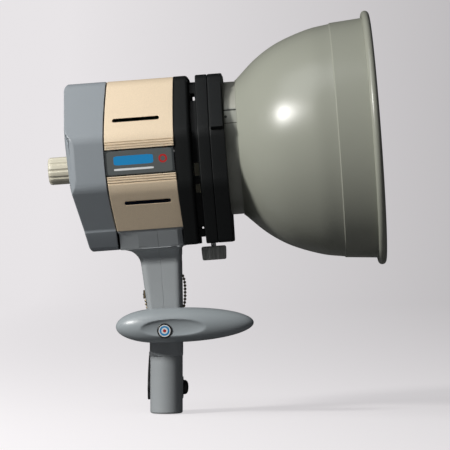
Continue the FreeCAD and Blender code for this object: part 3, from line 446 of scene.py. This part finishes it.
def local_millimetres(tree, matrix):
    """Object coordinates turned into a frame's own directions, in millimetres."""
    coordinates = tree.nodes.new("ShaderNodeTexCoord").outputs["Object"]
    mapping = tree.nodes.new("ShaderNodeMapping")
    mapping.vector_type = "TEXTURE"
    mapping.inputs["Location"].default_value = matrix.translation
    mapping.inputs["Rotation"].default_value = matrix.to_euler()
    mapping.inputs["Scale"].default_value = (MM, MM, MM)
    wire(tree, coordinates, mapping.inputs["Vector"])
    return mapping.outputs["Vector"]


def patch(tree, vector, centre, half, power=2.0):
    node = tree.nodes.new("ShaderNodeGroup")
    node.node_tree = PATCH
    wire(tree, vector, node.inputs["Vector"])
    node.inputs["Centre"].default_value = centre
    node.inputs["Half"].default_value = half
    node.inputs["Power"].default_value = power
    return node.outputs["Mask"]


def mix_mark_over(tree, base, mask, colour):
    """Mix a mark's colour over a colour socket where the mask is one; the marks are print and seams, and on the
    collar also painted light.
    """
    node = tree.nodes.new("ShaderNodeMix")
    node.data_type = "RGBA"
    wire(tree, mask, node.inputs["Factor"])
    wire(tree, base, node.inputs["A"])
    node.inputs["B"].default_value = (*colour, 1)
    return node.outputs["Result"]


def over_print_and_light(material, matrix, marks):
    """Lay marks over a finish, print and seams, and on the collar also painted light: each mark is (centre, half
    sizes, power, colour).
    """
    tree = material.node_tree
    shader = tree.nodes["Principled BSDF"]
    vector = local_millimetres(tree, matrix)
    colour = shader.inputs["Base Color"].links[0].from_socket
    for centre, half, power, mark_colour in marks:
        colour = mix_mark_over(tree, colour, patch(tree, vector, centre, half, power), mark_colour)
    wire(tree, colour, shader.inputs["Base Color"])
    return material


def printed(name, matrix, base, marks, **values):
    """A painted finish with marks printed over it."""
    return over_print_and_light(painted(name, base, **values), matrix, marks)


# %% Nameplate, badge and control panel
FAR = 1e4
BLUE, RED, WHITE, PALE = (0.02, 0.25, 0.55), (0.45, 0.03, 0.03), (0.75, 0.77, 0.78), (0.35, 0.36, 0.36)
plate_marks = [
    ((-8.5, 0, -6.9), (25.4, FAR, 9.2), 16, (0.11, 0.12, 0.12)),
    ((-13.2, 0, -5.2), (15.5, FAR, 3.6), 8, BLUE),
    ((-13.2, 0, -12.2), (15.5, FAR, 0.8), 8, WHITE),
    ((9.8, 0, -5.6), (3.4, FAR, 3.4), 2, RED),
    ((9.8, 0, -5.6), (1.9, FAR, 1.9), 2, (0.11, 0.12, 0.12)),
]
finishes["plate_gloss"] = printed("plate_gloss", HEAD, (0.045, 0.05, 0.052), plate_marks, roughness=0.10,
                                  scale=260, grain=0.10, drift=0.1, coat=0.7)
badge_marks = [
    ((0, 0, 0), (4.7, FAR, 4.7), 2, WHITE),
    ((0, 0, 0), (3.9, FAR, 3.9), 2, BLUE),
    ((0, 0, 0), (2.5, FAR, 2.5), 2, WHITE),
    ((0, 0, 0), (1.3, FAR, 1.3), 2, RED),
]
finishes["badge_enamel"] = printed("badge_enamel", LEVER, (0.02, 0.02, 0.02), badge_marks, roughness=0.15,
                                   scale=300, grain=0.03, drift=0.05, coat=0.8)
# Collar marks: the dark lines and the dot are the collar's seams and rivet hole. The pale patch is painted light:
# the upper collar is made paler where light from above falls on it.
seam_dark, painted_top_light = (0.035, 0.036, 0.033), (0.50, 0.50, 0.44)
collar_marks = [
    ((64.5, 0, 46.0), (4.4, FAR, 16.0), 16, painted_top_light),
    ((64.0, 0, 28.6), (9.0, FAR, 0.55), 16, seam_dark),
    ((62.0, 0, 18.2), (9.0, FAR, 0.28), 16, seam_dark),
    ((60.6, 0, 23.4), (1.1, FAR, 1.1), 2, seam_dark),
]
over_print_and_light(finishes["collar_metal"], HEAD, collar_marks)
DIAL_LOW, DIAL_TICKS, TICK_RADIUS = -8.0, 11, 14.2
panel_marks = []
for tick in range(DIAL_TICKS):
    turn = math.radians(225 - 270 * tick / (DIAL_TICKS - 1))
    centre = (0, -TICK_RADIUS * math.cos(turn), DIAL_LOW + TICK_RADIUS * math.sin(turn))
    size = 0.45 + 0.09 * tick
    panel_marks.append((centre, (FAR, size, size), 2, PALE))
panel_marks.append(((0, 0, 7.6), (FAR, 30.5, 0.18), 16, PALE))
panel_marks.append(((0, 0, 38.6), (FAR, 30.5, 0.18), 16, PALE))
finishes["panel_grey"] = printed("panel_grey", HEAD, (0.045, 0.048, 0.052), panel_marks, roughness=0.45,
                                 scale=1200, grain=0.3, drift=0.1)

# %% [markdown]
# ## Glass and the bell's lining
#
# The modelling lamp is frosted glass, and the flash tube is clear. Both need transmission,
# which stays a plain value on the shader. The inside of the bell isn't painted like the
# outside: it is bright metal pressed with small pebbles that spread the light, so that it
# gets a second finish of its own on the same piece.

# %% Glasses and lining
def glass(name, colour, roughness, transmission):
    material, tree, shader = new_finish(name)
    place_group(tree, shader, SURFACE, {
        "Colour": (*colour, 1), "Grain Scale": 700, "Grain Depth": roughness * 0.3, "Roughness": roughness,
        "Drift": 0.05, "Speckle": 0.0})
    shader.inputs["Transmission Weight"].default_value = transmission
    shader.inputs["IOR"].default_value = 1.47
    return material


def pebbled(name):
    """Bright metal with small round pebbles."""
    material, tree, shader = new_finish(name, metallic=0.6)
    place_group(tree, shader, SURFACE, {
        "Colour": (0.72, 0.72, 0.71, 1), "Grain Scale": 500, "Grain Depth": 0.05, "Roughness": 0.28,
        "Drift": 0.1, "Speckle": 0.0})
    cells = tree.nodes.new("ShaderNodeTexVoronoi")
    cells.inputs["Scale"].default_value = 420
    wire(tree, tree.nodes.new("ShaderNodeTexCoord").outputs["Object"], cells.inputs["Vector"])
    bump = tree.nodes.new("ShaderNodeBump")
    bump.inputs["Strength"].default_value = 0.55
    bump.inputs["Distance"].default_value = 0.5 * MM
    bump.invert = True
    wire(tree, cells.outputs["Distance"], bump.inputs["Height"])
    wire(tree, bump.outputs["Normal"], shader.inputs["Normal"])
    return material


finishes["frosted_glass"] = glass("frosted_glass", (0.92, 0.92, 0.90), 0.38, 0.65)
finishes["tube_glass"] = glass("tube_glass", (0.93, 0.95, 0.96), 0.03, 0.92)
LINING = pebbled("reflector_silver")

for name, node in nodes.items():
    node.data.materials.clear()
    node.data.materials.append(finishes[SLOT_OF[name]])
print("finishes:", len(finishes), "over", len(nodes), "parts")

# %% [markdown]
# ## Paper that lights nothing
#
# A white sweep this close would light every underside from below. A real lamp hangs in a
# room, well away from white walls. Light Path tells the camera's view of the paper from the
# light that it sends back to the lamp. Seen directly, the paper glows a little, more on the
# left than on the right. To everything else it is a dull grey that sends little back.

# %% Finish of the sweep
SENT_BACK, SEEN = (0.16, 0.16, 0.165, 1), (0.28, 0.275, 0.28, 1)
GLOW_COLOUR, GLOW_LEFT, GLOW_RIGHT = (0.97, 0.94, 0.96, 1), 0.80, 0.496
LEFT_X, RIGHT_X = -0.4, 0.5
paper, tree, shader = new_finish("sweep_paint", specular=0.1)
shader.inputs["Roughness"].default_value = 0.9
camera_ray = tree.nodes.new("ShaderNodeLightPath").outputs["Is Camera Ray"]
choice = tree.nodes.new("ShaderNodeMix")
choice.data_type = "RGBA"
wire(tree, camera_ray, choice.inputs["Factor"])
choice.inputs["A"].default_value = SENT_BACK
choice.inputs["B"].default_value = SEEN
wire(tree, choice.outputs["Result"], shader.inputs["Base Color"])
place = tree.nodes.new("ShaderNodeSeparateXYZ")
wire(tree, tree.nodes.new("ShaderNodeTexCoord").outputs["Object"], place.inputs["Vector"])
across = tree.nodes.new("ShaderNodeMapRange")
across.inputs["From Min"].default_value = LEFT_X
across.inputs["From Max"].default_value = RIGHT_X
across.inputs["To Min"].default_value = GLOW_LEFT
across.inputs["To Max"].default_value = GLOW_RIGHT
wire(tree, place.outputs["X"], across.inputs["Value"])
glow = math_node(tree, "MULTIPLY", across.outputs["Result"], camera_ray)
wire(tree, glow, shader.inputs["Emission Strength"])
shader.inputs["Emission Color"].default_value = GLOW_COLOUR
sweep.data.materials.append(paper)

# %% [markdown]
# ## Tools for making pieces
#
# Each new piece is made at the scene's origin in a frame of its own, finished, and then its
# mesh is moved to its place, so that its object stays unturned at the origin. `adopt` does
# this, gives the piece its finish, makes it ride on the right body and hides the part of the
# frame that it stands for.

# %% Finish a piece
def adopt(piece, name, matrix, slot, body, *stands_for, smooth=32):
    """Name a new mesh, move it into place, smooth it, and hang it on its body."""
    bpy.ops.object.select_all(action="DESELECT")
    bpy.context.view_layer.objects.active = piece
    piece.select_set(True)
    bpy.ops.object.transform_apply(location=True, rotation=True, scale=True)
    piece.name = piece.data.name = name
    piece.data.transform(matrix)
    bpy.ops.object.shade_smooth_by_angle(angle=math.radians(smooth))
    weighted = piece.modifiers.new("normals", "WEIGHTED_NORMAL")
    weighted.keep_sharp = True
    bpy.ops.object.modifier_apply(modifier=weighted.name)
    if not piece.data.materials:
        piece.data.materials.append(finishes[slot])
    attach(piece, body)
    if stands_for:
        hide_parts(*stands_for)
    return piece


# %% Turn an outline
WELD, FLAT_ANGLE = 0.01 * MM, math.radians(0.4)


def turned(outline, steps=96):
    """Spin (along, radius) points about the X axis: the first and last may be on the axis."""
    bpy.ops.object.select_all(action="DESELECT")
    bpy.ops.mesh.primitive_plane_add(size=2 * MM)
    piece = bpy.context.active_object
    bpy.ops.object.mode_set(mode="EDIT")
    bpy.ops.mesh.select_mode(type="VERT")
    bpy.ops.mesh.select_all(action="SELECT")
    bpy.ops.mesh.merge(type="CENTER")
    points = [Vector((along * MM, 0, radius * MM)) for along, radius in outline]
    bpy.ops.transform.translate(value=points[0])
    for before, after in zip(points, points[1:]):
        bpy.ops.mesh.extrude_region_move(TRANSFORM_OT_translate={"value": after - before})
    bpy.ops.mesh.select_all(action="SELECT")
    bpy.ops.mesh.spin(steps=steps, angle=2 * math.pi, center=(0, 0, 0), axis=(1, 0, 0))
    bpy.ops.mesh.select_all(action="SELECT")
    bpy.ops.mesh.remove_doubles(threshold=WELD * 0.4)
    bpy.ops.mesh.normals_make_consistent(inside=False)
    bpy.ops.object.mode_set(mode="OBJECT")
    return piece


# %% Round off a part's sharp edges
def softened(node, width, shaped=None, angle=35):
    """A welded copy of a frame part with its sharp edges bevelled, worked on in place."""
    bpy.ops.object.select_all(action="DESELECT")
    piece = bpy.data.objects.new(node + "_copy", nodes[node].data.copy())
    bpy.context.scene.collection.objects.link(piece)
    bpy.context.view_layer.objects.active = piece
    piece.select_set(True)
    bpy.ops.object.mode_set(mode="EDIT")
    bpy.ops.mesh.select_all(action="SELECT")
    bpy.ops.mesh.remove_doubles(threshold=WELD)
    bpy.ops.mesh.dissolve_limited(angle_limit=FLAT_ANGLE)
    if shaped:
        shaped(piece)
    bpy.ops.object.mode_set(mode="OBJECT")
    edge = piece.modifiers.new("edges", "BEVEL")
    edge.width = width * MM
    edge.segments = 2
    edge.limit_method = "ANGLE"
    edge.angle_limit = math.radians(angle)
    edge.use_clamp_overlap = False
    bpy.ops.object.modifier_apply(modifier=edge.name)
    return adopt(piece, node + "_finished", Matrix.Identity(4), SLOT_OF[node], BODY_OF[node], node)


# %% [markdown]
# ## Housings, shells and plates
#
# The frame already holds these parts, but every edge on them is knife-sharp, which no
# moulding or casting has. A welded copy of each gets a small bevel, and the bevel catches the
# light along the seams. The shells and plates are also drawn back a little at their seams,
# because a real seam shows as a thin dark gap. The seams of the housing aren't straight: at
# mid height they bulge backwards, so the copies are sliced into rows and bowed.

# %% Draw back from the seams
def shift_where(matrix, wanted, move):
    """Make a shaping step that moves the points that pass a test, in a frame's directions."""
    inverse = matrix.inverted()
    turn = matrix.to_3x3()

    def shaped(piece):
        shape = bmesh.from_edit_mesh(piece.data)
        for vertex in shape.verts:
            place = inverse @ vertex.co / MM
            if wanted(place):
                vertex.co += turn @ (Vector(move(place)) * MM)
        bmesh.update_edit_mesh(piece.data)
    return shaped


SEAM_X, SHELL_END, GAP = -32.0, 21.0, 0.85
STRIP_TOP, STRIP_LOW = 3.5, -17.4
shell_gap = shift_where(HEAD, lambda place: place.x < SEAM_X + 0.1, lambda place: (GAP, 0, 0))
plate_gap = shift_where(
    HEAD, lambda place: True,
    lambda place: (0, 0, -GAP if place.z > (STRIP_TOP + STRIP_LOW) / 2 else GAP))


# %% Bow the seams
RING_END, RING_BEVEL, RING_OUTSIDE = 32.5, 2.6, 47.5
BOW_REACH, REAR_FREE, REAR_BOW, FRONT_BOW = 60.0, -60.0, 3.9, 1.9
BACK_X, CHIN_Z, FOOT = -66.0, -74.5, 2.6
bow_cuts = [-72 + 6 * row for row in range(22)]
FLOOR_Z, UNDERCUT, CHIN_INSIDE = -60.0, 0.725, 20.0


def bow_of(along, height):
    """How far back a point moves: the seams bulge backwards, the chin of the rear face forwards."""
    bulge = max(0.0, 1 - (height / BOW_REACH) ** 2)
    if along < SEAM_X:
        strength = REAR_BOW * max(0.0, (along - REAR_FREE) / (SEAM_X - REAR_FREE))
    elif along < SHELL_END:
        strength = REAR_BOW + (FRONT_BOW - REAR_BOW) * (along - SEAM_X) / (SHELL_END - SEAM_X)
    else:
        strength = FRONT_BOW * max(0.0, (RING_END - along) / (RING_END - SHELL_END))
    foot = FOOT * (max(0.0, height / CHIN_Z)) ** 2 * max(0.0, (SEAM_X - along) / (SEAM_X - BACK_X))
    return strength * bulge - foot


def bowed_seams(before=None):
    """A shaping step that slices a piece into rows and then bows it backwards."""
    def shaped(piece):
        for height in bow_cuts:
            bpy.ops.mesh.select_all(action="SELECT")
            bpy.ops.mesh.bisect(plane_co=HEAD @ Vector((0, 0, height * MM)),
                                plane_no=HEAD.to_3x3() @ Vector((0, 0, 1)))
        if before:
            before(piece)
        shift_where(HEAD, lambda place: True, lambda place: (-bow_of(place.x, place.z), 0, 0))(piece)
    return shaped


def chin_slope(piece):
    """Lean the chin's side walls inwards, so that they carry on the lower facets."""
    shift_where(HEAD, lambda place: place.z < FLOOR_Z and abs(place.y) > CHIN_INSIDE,
                lambda place: (0, math.copysign(UNDERCUT * (FLOOR_Z - place.z), -place.y), 0))(piece)


def ring_front(piece):
    """Bevel the outer edge of the ring's front face broadly."""
    inverse = HEAD.inverted()
    mark_edges(piece, lambda co: abs((inverse @ co).x / MM - RING_END) < 0.05
               and math.hypot((inverse @ co).y, (inverse @ co).z) / MM > RING_OUTSIDE)
    bpy.ops.mesh.bevel(offset=RING_BEVEL * MM, segments=3)


for name in ("upper_shell", "lower_shell"):
    softened(name, 0.45, bowed_seams(shell_gap))
for name in ("nameplate_near", "nameplate_far"):
    softened(name, 0.5, bowed_seams(plate_gap))
softened("rear_housing", 0.7, bowed_seams(chin_slope))
softened("front_ring", 0.5, bowed_seams(ring_front))
softened_edges = {
    "vent_hub": 0.4, "adapter_plate_rear": 1.0, "adapter_plate_front": 1.0, "latch_cover": 0.5,
    "lamp_socket": 0.6, "control_panel": 0.3, "main_switch_body": 0.3, "lamp_switch_body": 0.3,
    "main_switch_rocker": 0.5, "lamp_switch_rocker": 0.5, "test_button": 0.5, "fuse_holder": 0.5,
    "sync_socket": 0.3}
for name, width in softened_edges.items():
    softened(name, width)
print("softened parts are in place")

# %% [markdown]
# ## Knobs
#
# Both knobs are turned shapes with lengthwise grooves for the fingers. An outline is spun
# about the axis, and then the points on the rim that lie at a groove are pulled inwards,
# with a share for their neighbours, so that each groove is rounded.

# %% Ribbed knobs
def ribbed(outline, count, groove, low, high, steps):
    """A turned knob whose rim has grooves between two places along its axis."""
    piece = turned(outline, steps)
    pitch = 2 * math.pi / count
    for vertex in piece.data.vertices:
        along = vertex.co.x / MM
        radius = math.hypot(vertex.co.y, vertex.co.z) / MM
        if low < along < high and radius > groove["inside"]:
            turn = math.atan2(vertex.co.z, vertex.co.y) % pitch
            off = min(turn, pitch - turn) / groove["half_angle"]
            pull = groove["depth"] * max(0.0, 1 - off * off)
            factor = (radius - pull) / radius
            vertex.co.y *= factor
            vertex.co.z *= factor
    return piece


KNOB_BACK, KNOB_FRONT, KNOB_RADIUS = -84.8, -64.4, 11.0
rows = 8
wall_from, wall_to = KNOB_BACK + 2.2, KNOB_FRONT - 0.5
wall_rows = [(wall_from + (wall_to - wall_from) * row / rows, KNOB_RADIUS) for row in range(rows + 1)]
knob_outline = ([(KNOB_BACK + 0.5, 0), (KNOB_BACK + 0.4, 5.5), (KNOB_BACK, 6.2), (KNOB_BACK, 8.6),
                 (KNOB_BACK + 0.25, 9.6), (KNOB_BACK + 0.95, 10.5)] + wall_rows
                + [(KNOB_FRONT, 10.5), (KNOB_FRONT, 5.7), (KNOB_FRONT - 2, 5.7), (KNOB_FRONT - 2, 0)])
knob = ribbed(knob_outline, 12, {"inside": 9.0, "half_angle": math.radians(6.5), "depth": 0.8},
              KNOB_BACK + 0.5, KNOB_FRONT + 0.5, 144)
adopt(knob, "power_knob_ribbed", HEAD @ Matrix.Translation((0, 0, -8 * MM)), "ivory_plastic", "power_dial",
      "power_knob")

LOCK_X, LOCK_LOW, LOCK_TOP, LOCK_RADIUS = 42.5, -88.0, -77.0, 10.0
down = Matrix.Translation((LOCK_X * MM, 0, 0)) @ Matrix.Rotation(math.radians(-90), 4, "Y")
lock_outline = [(LOCK_LOW + 1.2, 0), (LOCK_LOW + 1.2, 5.5), (LOCK_LOW, 6.2), (LOCK_LOW, 8.6),
                (LOCK_LOW + 0.4, 9.3), (LOCK_LOW + 1.2, 9.6), (LOCK_LOW + 3.6, 9.75), (LOCK_LOW + 6.0, 9.9),
                (LOCK_TOP - 1.6, LOCK_RADIUS), (LOCK_TOP - 0.6, 9.7), (LOCK_TOP, 8.9), (LOCK_TOP, 2.1),
                (LOCK_TOP - 2, 2.1), (LOCK_TOP - 2, 0)]
lock = ribbed(lock_outline, 15, {"inside": 8.5, "half_angle": math.radians(7.5), "depth": 1.15},
              LOCK_LOW + 0.2, LOCK_TOP - 0.3, 120)
adopt(lock, "lock_knob_ribbed", HEAD @ down, "graphite_metal", "thumbscrew", "lock_knob")
print("knobs:", len(knob.data.polygons), len(lock.data.polygons), "faces")

# %% [markdown]
# ## The reflector bowl
#
# The bowl is painted outside and has a silver, pebbled lining that spreads the light. A new
# bowl is spun from its outline and split by which way its faces look: a face that looks
# towards the optical axis, short of the rolled rim, belongs to the lining.

# %% Bowl with its silver lining
CREASE, STEP_UP, BAND_END, METAL = (146.5, 93.0), (147.3, 93.7), (173.8, 95.9), 1.2
RIM_X, RIM_RADIUS, ROLL = 176.0, 98.2, 3.2
outer_wall = [(69.5, 54.0), (86.4, 69.6), (104.5, 81.0), (128.0, 89.6), CREASE]
inner_wall = [(69.5, 52.8), (87.2, 68.9), (105.1, 80.2), (128.0, 88.4), (CREASE[0], CREASE[1] - METAL)]


def smooth_curve(knots, pieces=12):
    """Points of a smooth curve through the knots, with the ends' slopes carried on."""
    first = [2 * a - b for a, b in zip(knots[0], knots[1])]
    last = [2 * a - b for a, b in zip(knots[-1], knots[-2])]
    padded = [first] + list(knots) + [last]
    points = []
    for before, start, stop, after in zip(padded, padded[1:], padded[2:], padded[3:]):
        for step in range(pieces):
            t = step / pieces
            points.append(tuple(
                0.5 * (2 * b + (c - a) * t + (2 * a - 5 * b + 4 * c - d) * t * t
                       + (3 * b - a - 3 * c + d) * t ** 3)
                for a, b, c, d in zip(before, start, stop, after)))
    return points + [tuple(knots[-1])]


rolled = [(RIM_X + ROLL * math.cos(math.radians(turn)), RIM_RADIUS + ROLL * math.sin(math.radians(turn)))
          for turn in range(222, -102, -12)]
bowl_outline = ([(69.0, 51.8), (69.0, 54.0)] + smooth_curve(outer_wall) + [STEP_UP, BAND_END] + rolled
                + [(RIM_X - 1.2, RIM_RADIUS - ROLL), (STEP_UP[0], STEP_UP[1] - METAL)]
                + smooth_curve(inner_wall)[::-1] + [(69.0, 51.8)])
bowl = turned(bowl_outline, 160)
bowl.data.materials.append(finishes["reflector_paint"])
bowl.data.materials.append(LINING)
for face in bowl.data.polygons:
    inwards = -(face.normal.y * face.center.y + face.normal.z * face.center.z)
    before_rim = face.center.x / MM < RIM_X - ROLL
    face.material_index = 1 if inwards > 0 and before_rim else 0
adopt(bowl, "reflector_bowl_spun", HEAD, "reflector_paint", "reflector", "reflector_bowl", smooth=25)

# %% [markdown]
# ## The tilt lever
#
# The lever is a smooth spindle like a rowing boat, thick in the middle and pointed in front.
# Its outline is spun about its length. A shallow oval dish is then pressed into the side
# that faces out, and the back is pressed flat where it lies against the stalk.

# %% Spindle with a pressed dish
LEVER_Y, LEVER_RISE, LEVER_R = -23.0, 4.0, 13.7
REAR_TIP, STRAIGHT_FROM, STRAIGHT_TO, FRONT_TIP = -39.0, -5.0, 10.0, 70.3
FLAT_BACK = -14.3
DISH_X, DISH_Z, DISH_LONG, DISH_TALL, DISH_DEEP, DISH_MOUTH = 6.6, 1.0, 27.0, 8.2, 3.4, -36.5
DISH_SOFT = 0.35


def spindle_radius(along):
    """Half thickness of the spindle: blunt behind, drawn out to a rounded point in front."""
    if along < STRAIGHT_FROM:
        share = (STRAIGHT_FROM - along) / (STRAIGHT_FROM - REAR_TIP)
    elif along > STRAIGHT_TO:
        share = (along - STRAIGHT_TO) / (FRONT_TIP - STRAIGHT_TO)
    else:
        share = 0.0
    return LEVER_R * math.sqrt(max(0.0, 1 - share * share))


steps_along = 120
outline = []
for step in range(steps_along + 1):
    turn = math.pi * step / steps_along
    middle, half = (FRONT_TIP + REAR_TIP) / 2, (FRONT_TIP - REAR_TIP) / 2
    along = middle - half * math.cos(turn)
    outline.append((along, spindle_radius(along)))
spindle = turned(outline, 128)


def press_dish(piece):
    """Move the spindle to its place beside the stalk, flatten its back and press in the dish."""
    for vertex in piece.data.vertices:
        x, y, z = vertex.co.x / MM, vertex.co.y / MM + LEVER_Y, vertex.co.z / MM + LEVER_RISE
        oval = ((x - DISH_X) / DISH_LONG) ** 2 + ((z - DISH_Z) / DISH_TALL) ** 2
        if y < LEVER_Y and oval < 1:
            floor = DISH_MOUTH + DISH_DEEP * math.sqrt(1 - oval)
            gap = floor - y
            y += gap if gap > DISH_SOFT else max(0.0, gap + DISH_SOFT) ** 2 / (4 * DISH_SOFT)
        y = min(y, FLAT_BACK)
        vertex.co = Vector((x, y, z)) * MM


press_dish(spindle)
adopt(spindle, "tilt_lever_spindle", LEVER, "lever_grey", "tilt_lock", "tilt_lever", smooth=50)
print("lever has", len(spindle.data.polygons), "faces")

# %% [markdown]
# ## The stalk
#
# The stalk is cast in two halves that meet in a thin seam. The upright corners of each half
# are broadly rounded, which gives the stalk its light left edge and its dark right edge.

# %% Stalk halves with rounded uprights
CORNER, ROW = 5.0, 2.5
STALK_LOW, STALK_TOP, BLOCK_HALF = -125.0, -60.5, 36.0
across_cuts = [9.4, 10.6, 11.8, 12.8, 13.6, 14.4, 15.2, 16.0]
depth_cuts = [8.2, 9.4, 10.6, 11.6, 12.4, 13.0]


def slice_piece(place, direction):
    """Cut the mesh being edited with a plane given in the head's directions."""
    bpy.ops.mesh.select_all(action="SELECT")
    bpy.ops.mesh.bisect(plane_co=HEAD @ (Vector(place) * MM), plane_no=HEAD.to_3x3() @ Vector(direction))


def rounded_uprights(piece):
    """Slice the stalk finely and pull its outer corners in to a round, row by row."""
    row_heights = [STALK_LOW + ROW * row for row in range(int((STALK_TOP - STALK_LOW) / ROW) + 1)]
    for height in row_heights:
        slice_piece((0, 0, height), (0, 0, 1))
    for side in (-1, 1):
        for cut_at in across_cuts:
            slice_piece((side * cut_at, 0, 0), (1, 0, 0))
        for cut_at in depth_cuts:
            slice_piece((0, side * cut_at, 0), (0, 1, 0))
    inverse = HEAD.inverted()
    shape = bmesh.from_edit_mesh(piece.data)
    places = [(vertex, inverse @ vertex.co / MM) for vertex in shape.verts]
    for vertex, place in places:
        lean = UNDERCUT * min(STALK_TOP - place.z, STALK_TOP - CHIN_Z)
        if place.z < STALK_TOP and abs(place.y) > BLOCK_HALF - lean:
            place.y = math.copysign(BLOCK_HALF - lean, place.y)
            vertex.co = HEAD @ (place * MM)
    widths, depths = [], []
    for height in row_heights:
        row = [place for vertex, place in places if abs(place.z - height) < 0.2]
        widths.append(max(abs(place.x) for place in row))
        depths.append(max(abs(place.y) for place in row))

    def at_height(values, height):
        spot = min(max((height - STALK_LOW) / ROW, 0), len(values) - 1.001)
        low = int(spot)
        return values[low] + (values[low + 1] - values[low]) * (spot - low)

    for vertex, place in places:
        start_x = at_height(widths, place.z) - CORNER
        start_y = at_height(depths, place.z) - CORNER
        out_x, out_y = (abs(place.x) - start_x) / CORNER, (abs(place.y) - start_y) / CORNER
        if out_x > 0 and out_y > 0 and place.z < STALK_TOP:
            pull = max(out_x, out_y) / math.hypot(out_x, out_y)
            place.x = math.copysign(start_x + CORNER * out_x * pull, place.x)
            place.y = math.copysign(start_y + CORNER * out_y * pull, place.y)
            vertex.co = HEAD @ (place * MM)
    bmesh.update_edit_mesh(piece.data)


for name in ("stalk_rear", "stalk_front"):
    softened(name, 0.3, rounded_uprights, 60)

# %% [markdown]
# ## Bead chain
#
# A short closed loop of beads hangs behind the stalk. One bead is modelled and copied along
# the loop, and a thin wire joins each bead to the next.

# %% Beads and wires
CHAIN_X, CHAIN_Y, CHAIN_Z = -1.8, 19.5, 96.0
CHAIN_WIDE, CHAIN_TALL, SQUARENESS = 15.9, 17.6, 0.42
BEAD, PITCH, WIRE, WIRE_LONG = 1.2, 2.75, 0.35, 1.1
CLASP_LOW, CLASP_TOP = 90.0, 98.6


def chain_place(turn):
    """A point of the loop, whose sides hang nearly straight."""
    across, up = math.cos(turn), math.sin(turn)
    return Vector((CHAIN_X + CHAIN_WIDE * math.copysign(abs(across) ** SQUARENESS, across), CHAIN_Y,
                   CHAIN_Z + CHAIN_TALL * math.copysign(abs(up) ** (SQUARENESS * 1.6), up)))


fine = [chain_place(2 * math.pi * step / 7200) for step in range(7201)]
lengths = [0.0]
for before, after in zip(fine, fine[1:]):
    lengths.append(lengths[-1] + (after - before).length)
bead_count = round(lengths[-1] / PITCH)
bead_places = []
marker = 0
for number in range(bead_count):
    while lengths[marker] < number * lengths[-1] / bead_count:
        marker += 1
    bead_places.append(fine[marker])
bpy.ops.object.select_all(action="DESELECT")
bpy.ops.mesh.primitive_uv_sphere_add(segments=16, ring_count=10, radius=BEAD * MM)
bead = bpy.context.active_object
bpy.ops.mesh.primitive_cylinder_add(vertices=8, radius=WIRE * MM, depth=WIRE_LONG * MM)
link = bpy.context.active_object
chain_parts = []
for number, place in enumerate(bead_places):
    following = bead_places[(number + 1) % bead_count]
    held = place.x < CHAIN_X and CLASP_LOW < place.z < CLASP_TOP
    if held:
        continue
    for model, where in ((bead, place), (link, (place + following) / 2)):
        copy = bpy.data.objects.new(model.name, model.data.copy())
        bpy.context.scene.collection.objects.link(copy)
        copy.rotation_euler = (following - place).to_track_quat("Z", "Y").to_euler()
        copy.location = where * MM
        chain_parts.append(copy)
for model in (bead, link):
    bpy.data.objects.remove(model)
bpy.ops.object.select_all(action="DESELECT")
for copy in chain_parts:
    copy.select_set(True)
bpy.context.view_layer.objects.active = chain_parts[0]
bpy.ops.object.join()
adopt(chain_parts[0], "bead_chain_linked", STAND, "chain_brass", BODY_OF["bead_chain"],
      "bead_chain", smooth=60)

# %% [markdown]
# ## Clamp blade
#
# The blade that locks the stand socket is thin where it starts and swells towards its
# rounded end. Cutting the copy into slices gives it rows of points to bow.

# %% Bowed clamp blade
BLADE_TOP, BLADE_SWELL, BLADE_THIN, BLADE_ROWS = 49.0, 30.0, 0.45, (8, 50, 3)


def bowed(piece):
    """Slice the blade into rows and thin it towards its top."""
    inner = max(vertex.co.x for vertex in piece.data.vertices)
    for height in range(*BLADE_ROWS):
        bpy.ops.mesh.select_all(action="SELECT")
        bpy.ops.mesh.bisect(plane_co=(0, 0, height * MM), plane_no=(0, 0, 1))
    shape = bmesh.from_edit_mesh(piece.data)
    for vertex in shape.verts:
        share = min(1.0, max(0.0, (BLADE_TOP - vertex.co.z / MM) / BLADE_SWELL))
        thickness = BLADE_THIN + (1 - BLADE_THIN) * math.sin(share * math.pi / 2)
        vertex.co.x = inner - (inner - vertex.co.x) * thickness
    bmesh.update_edit_mesh(piece.data)


softened("stand_lock_lever", 0.45, bowed)
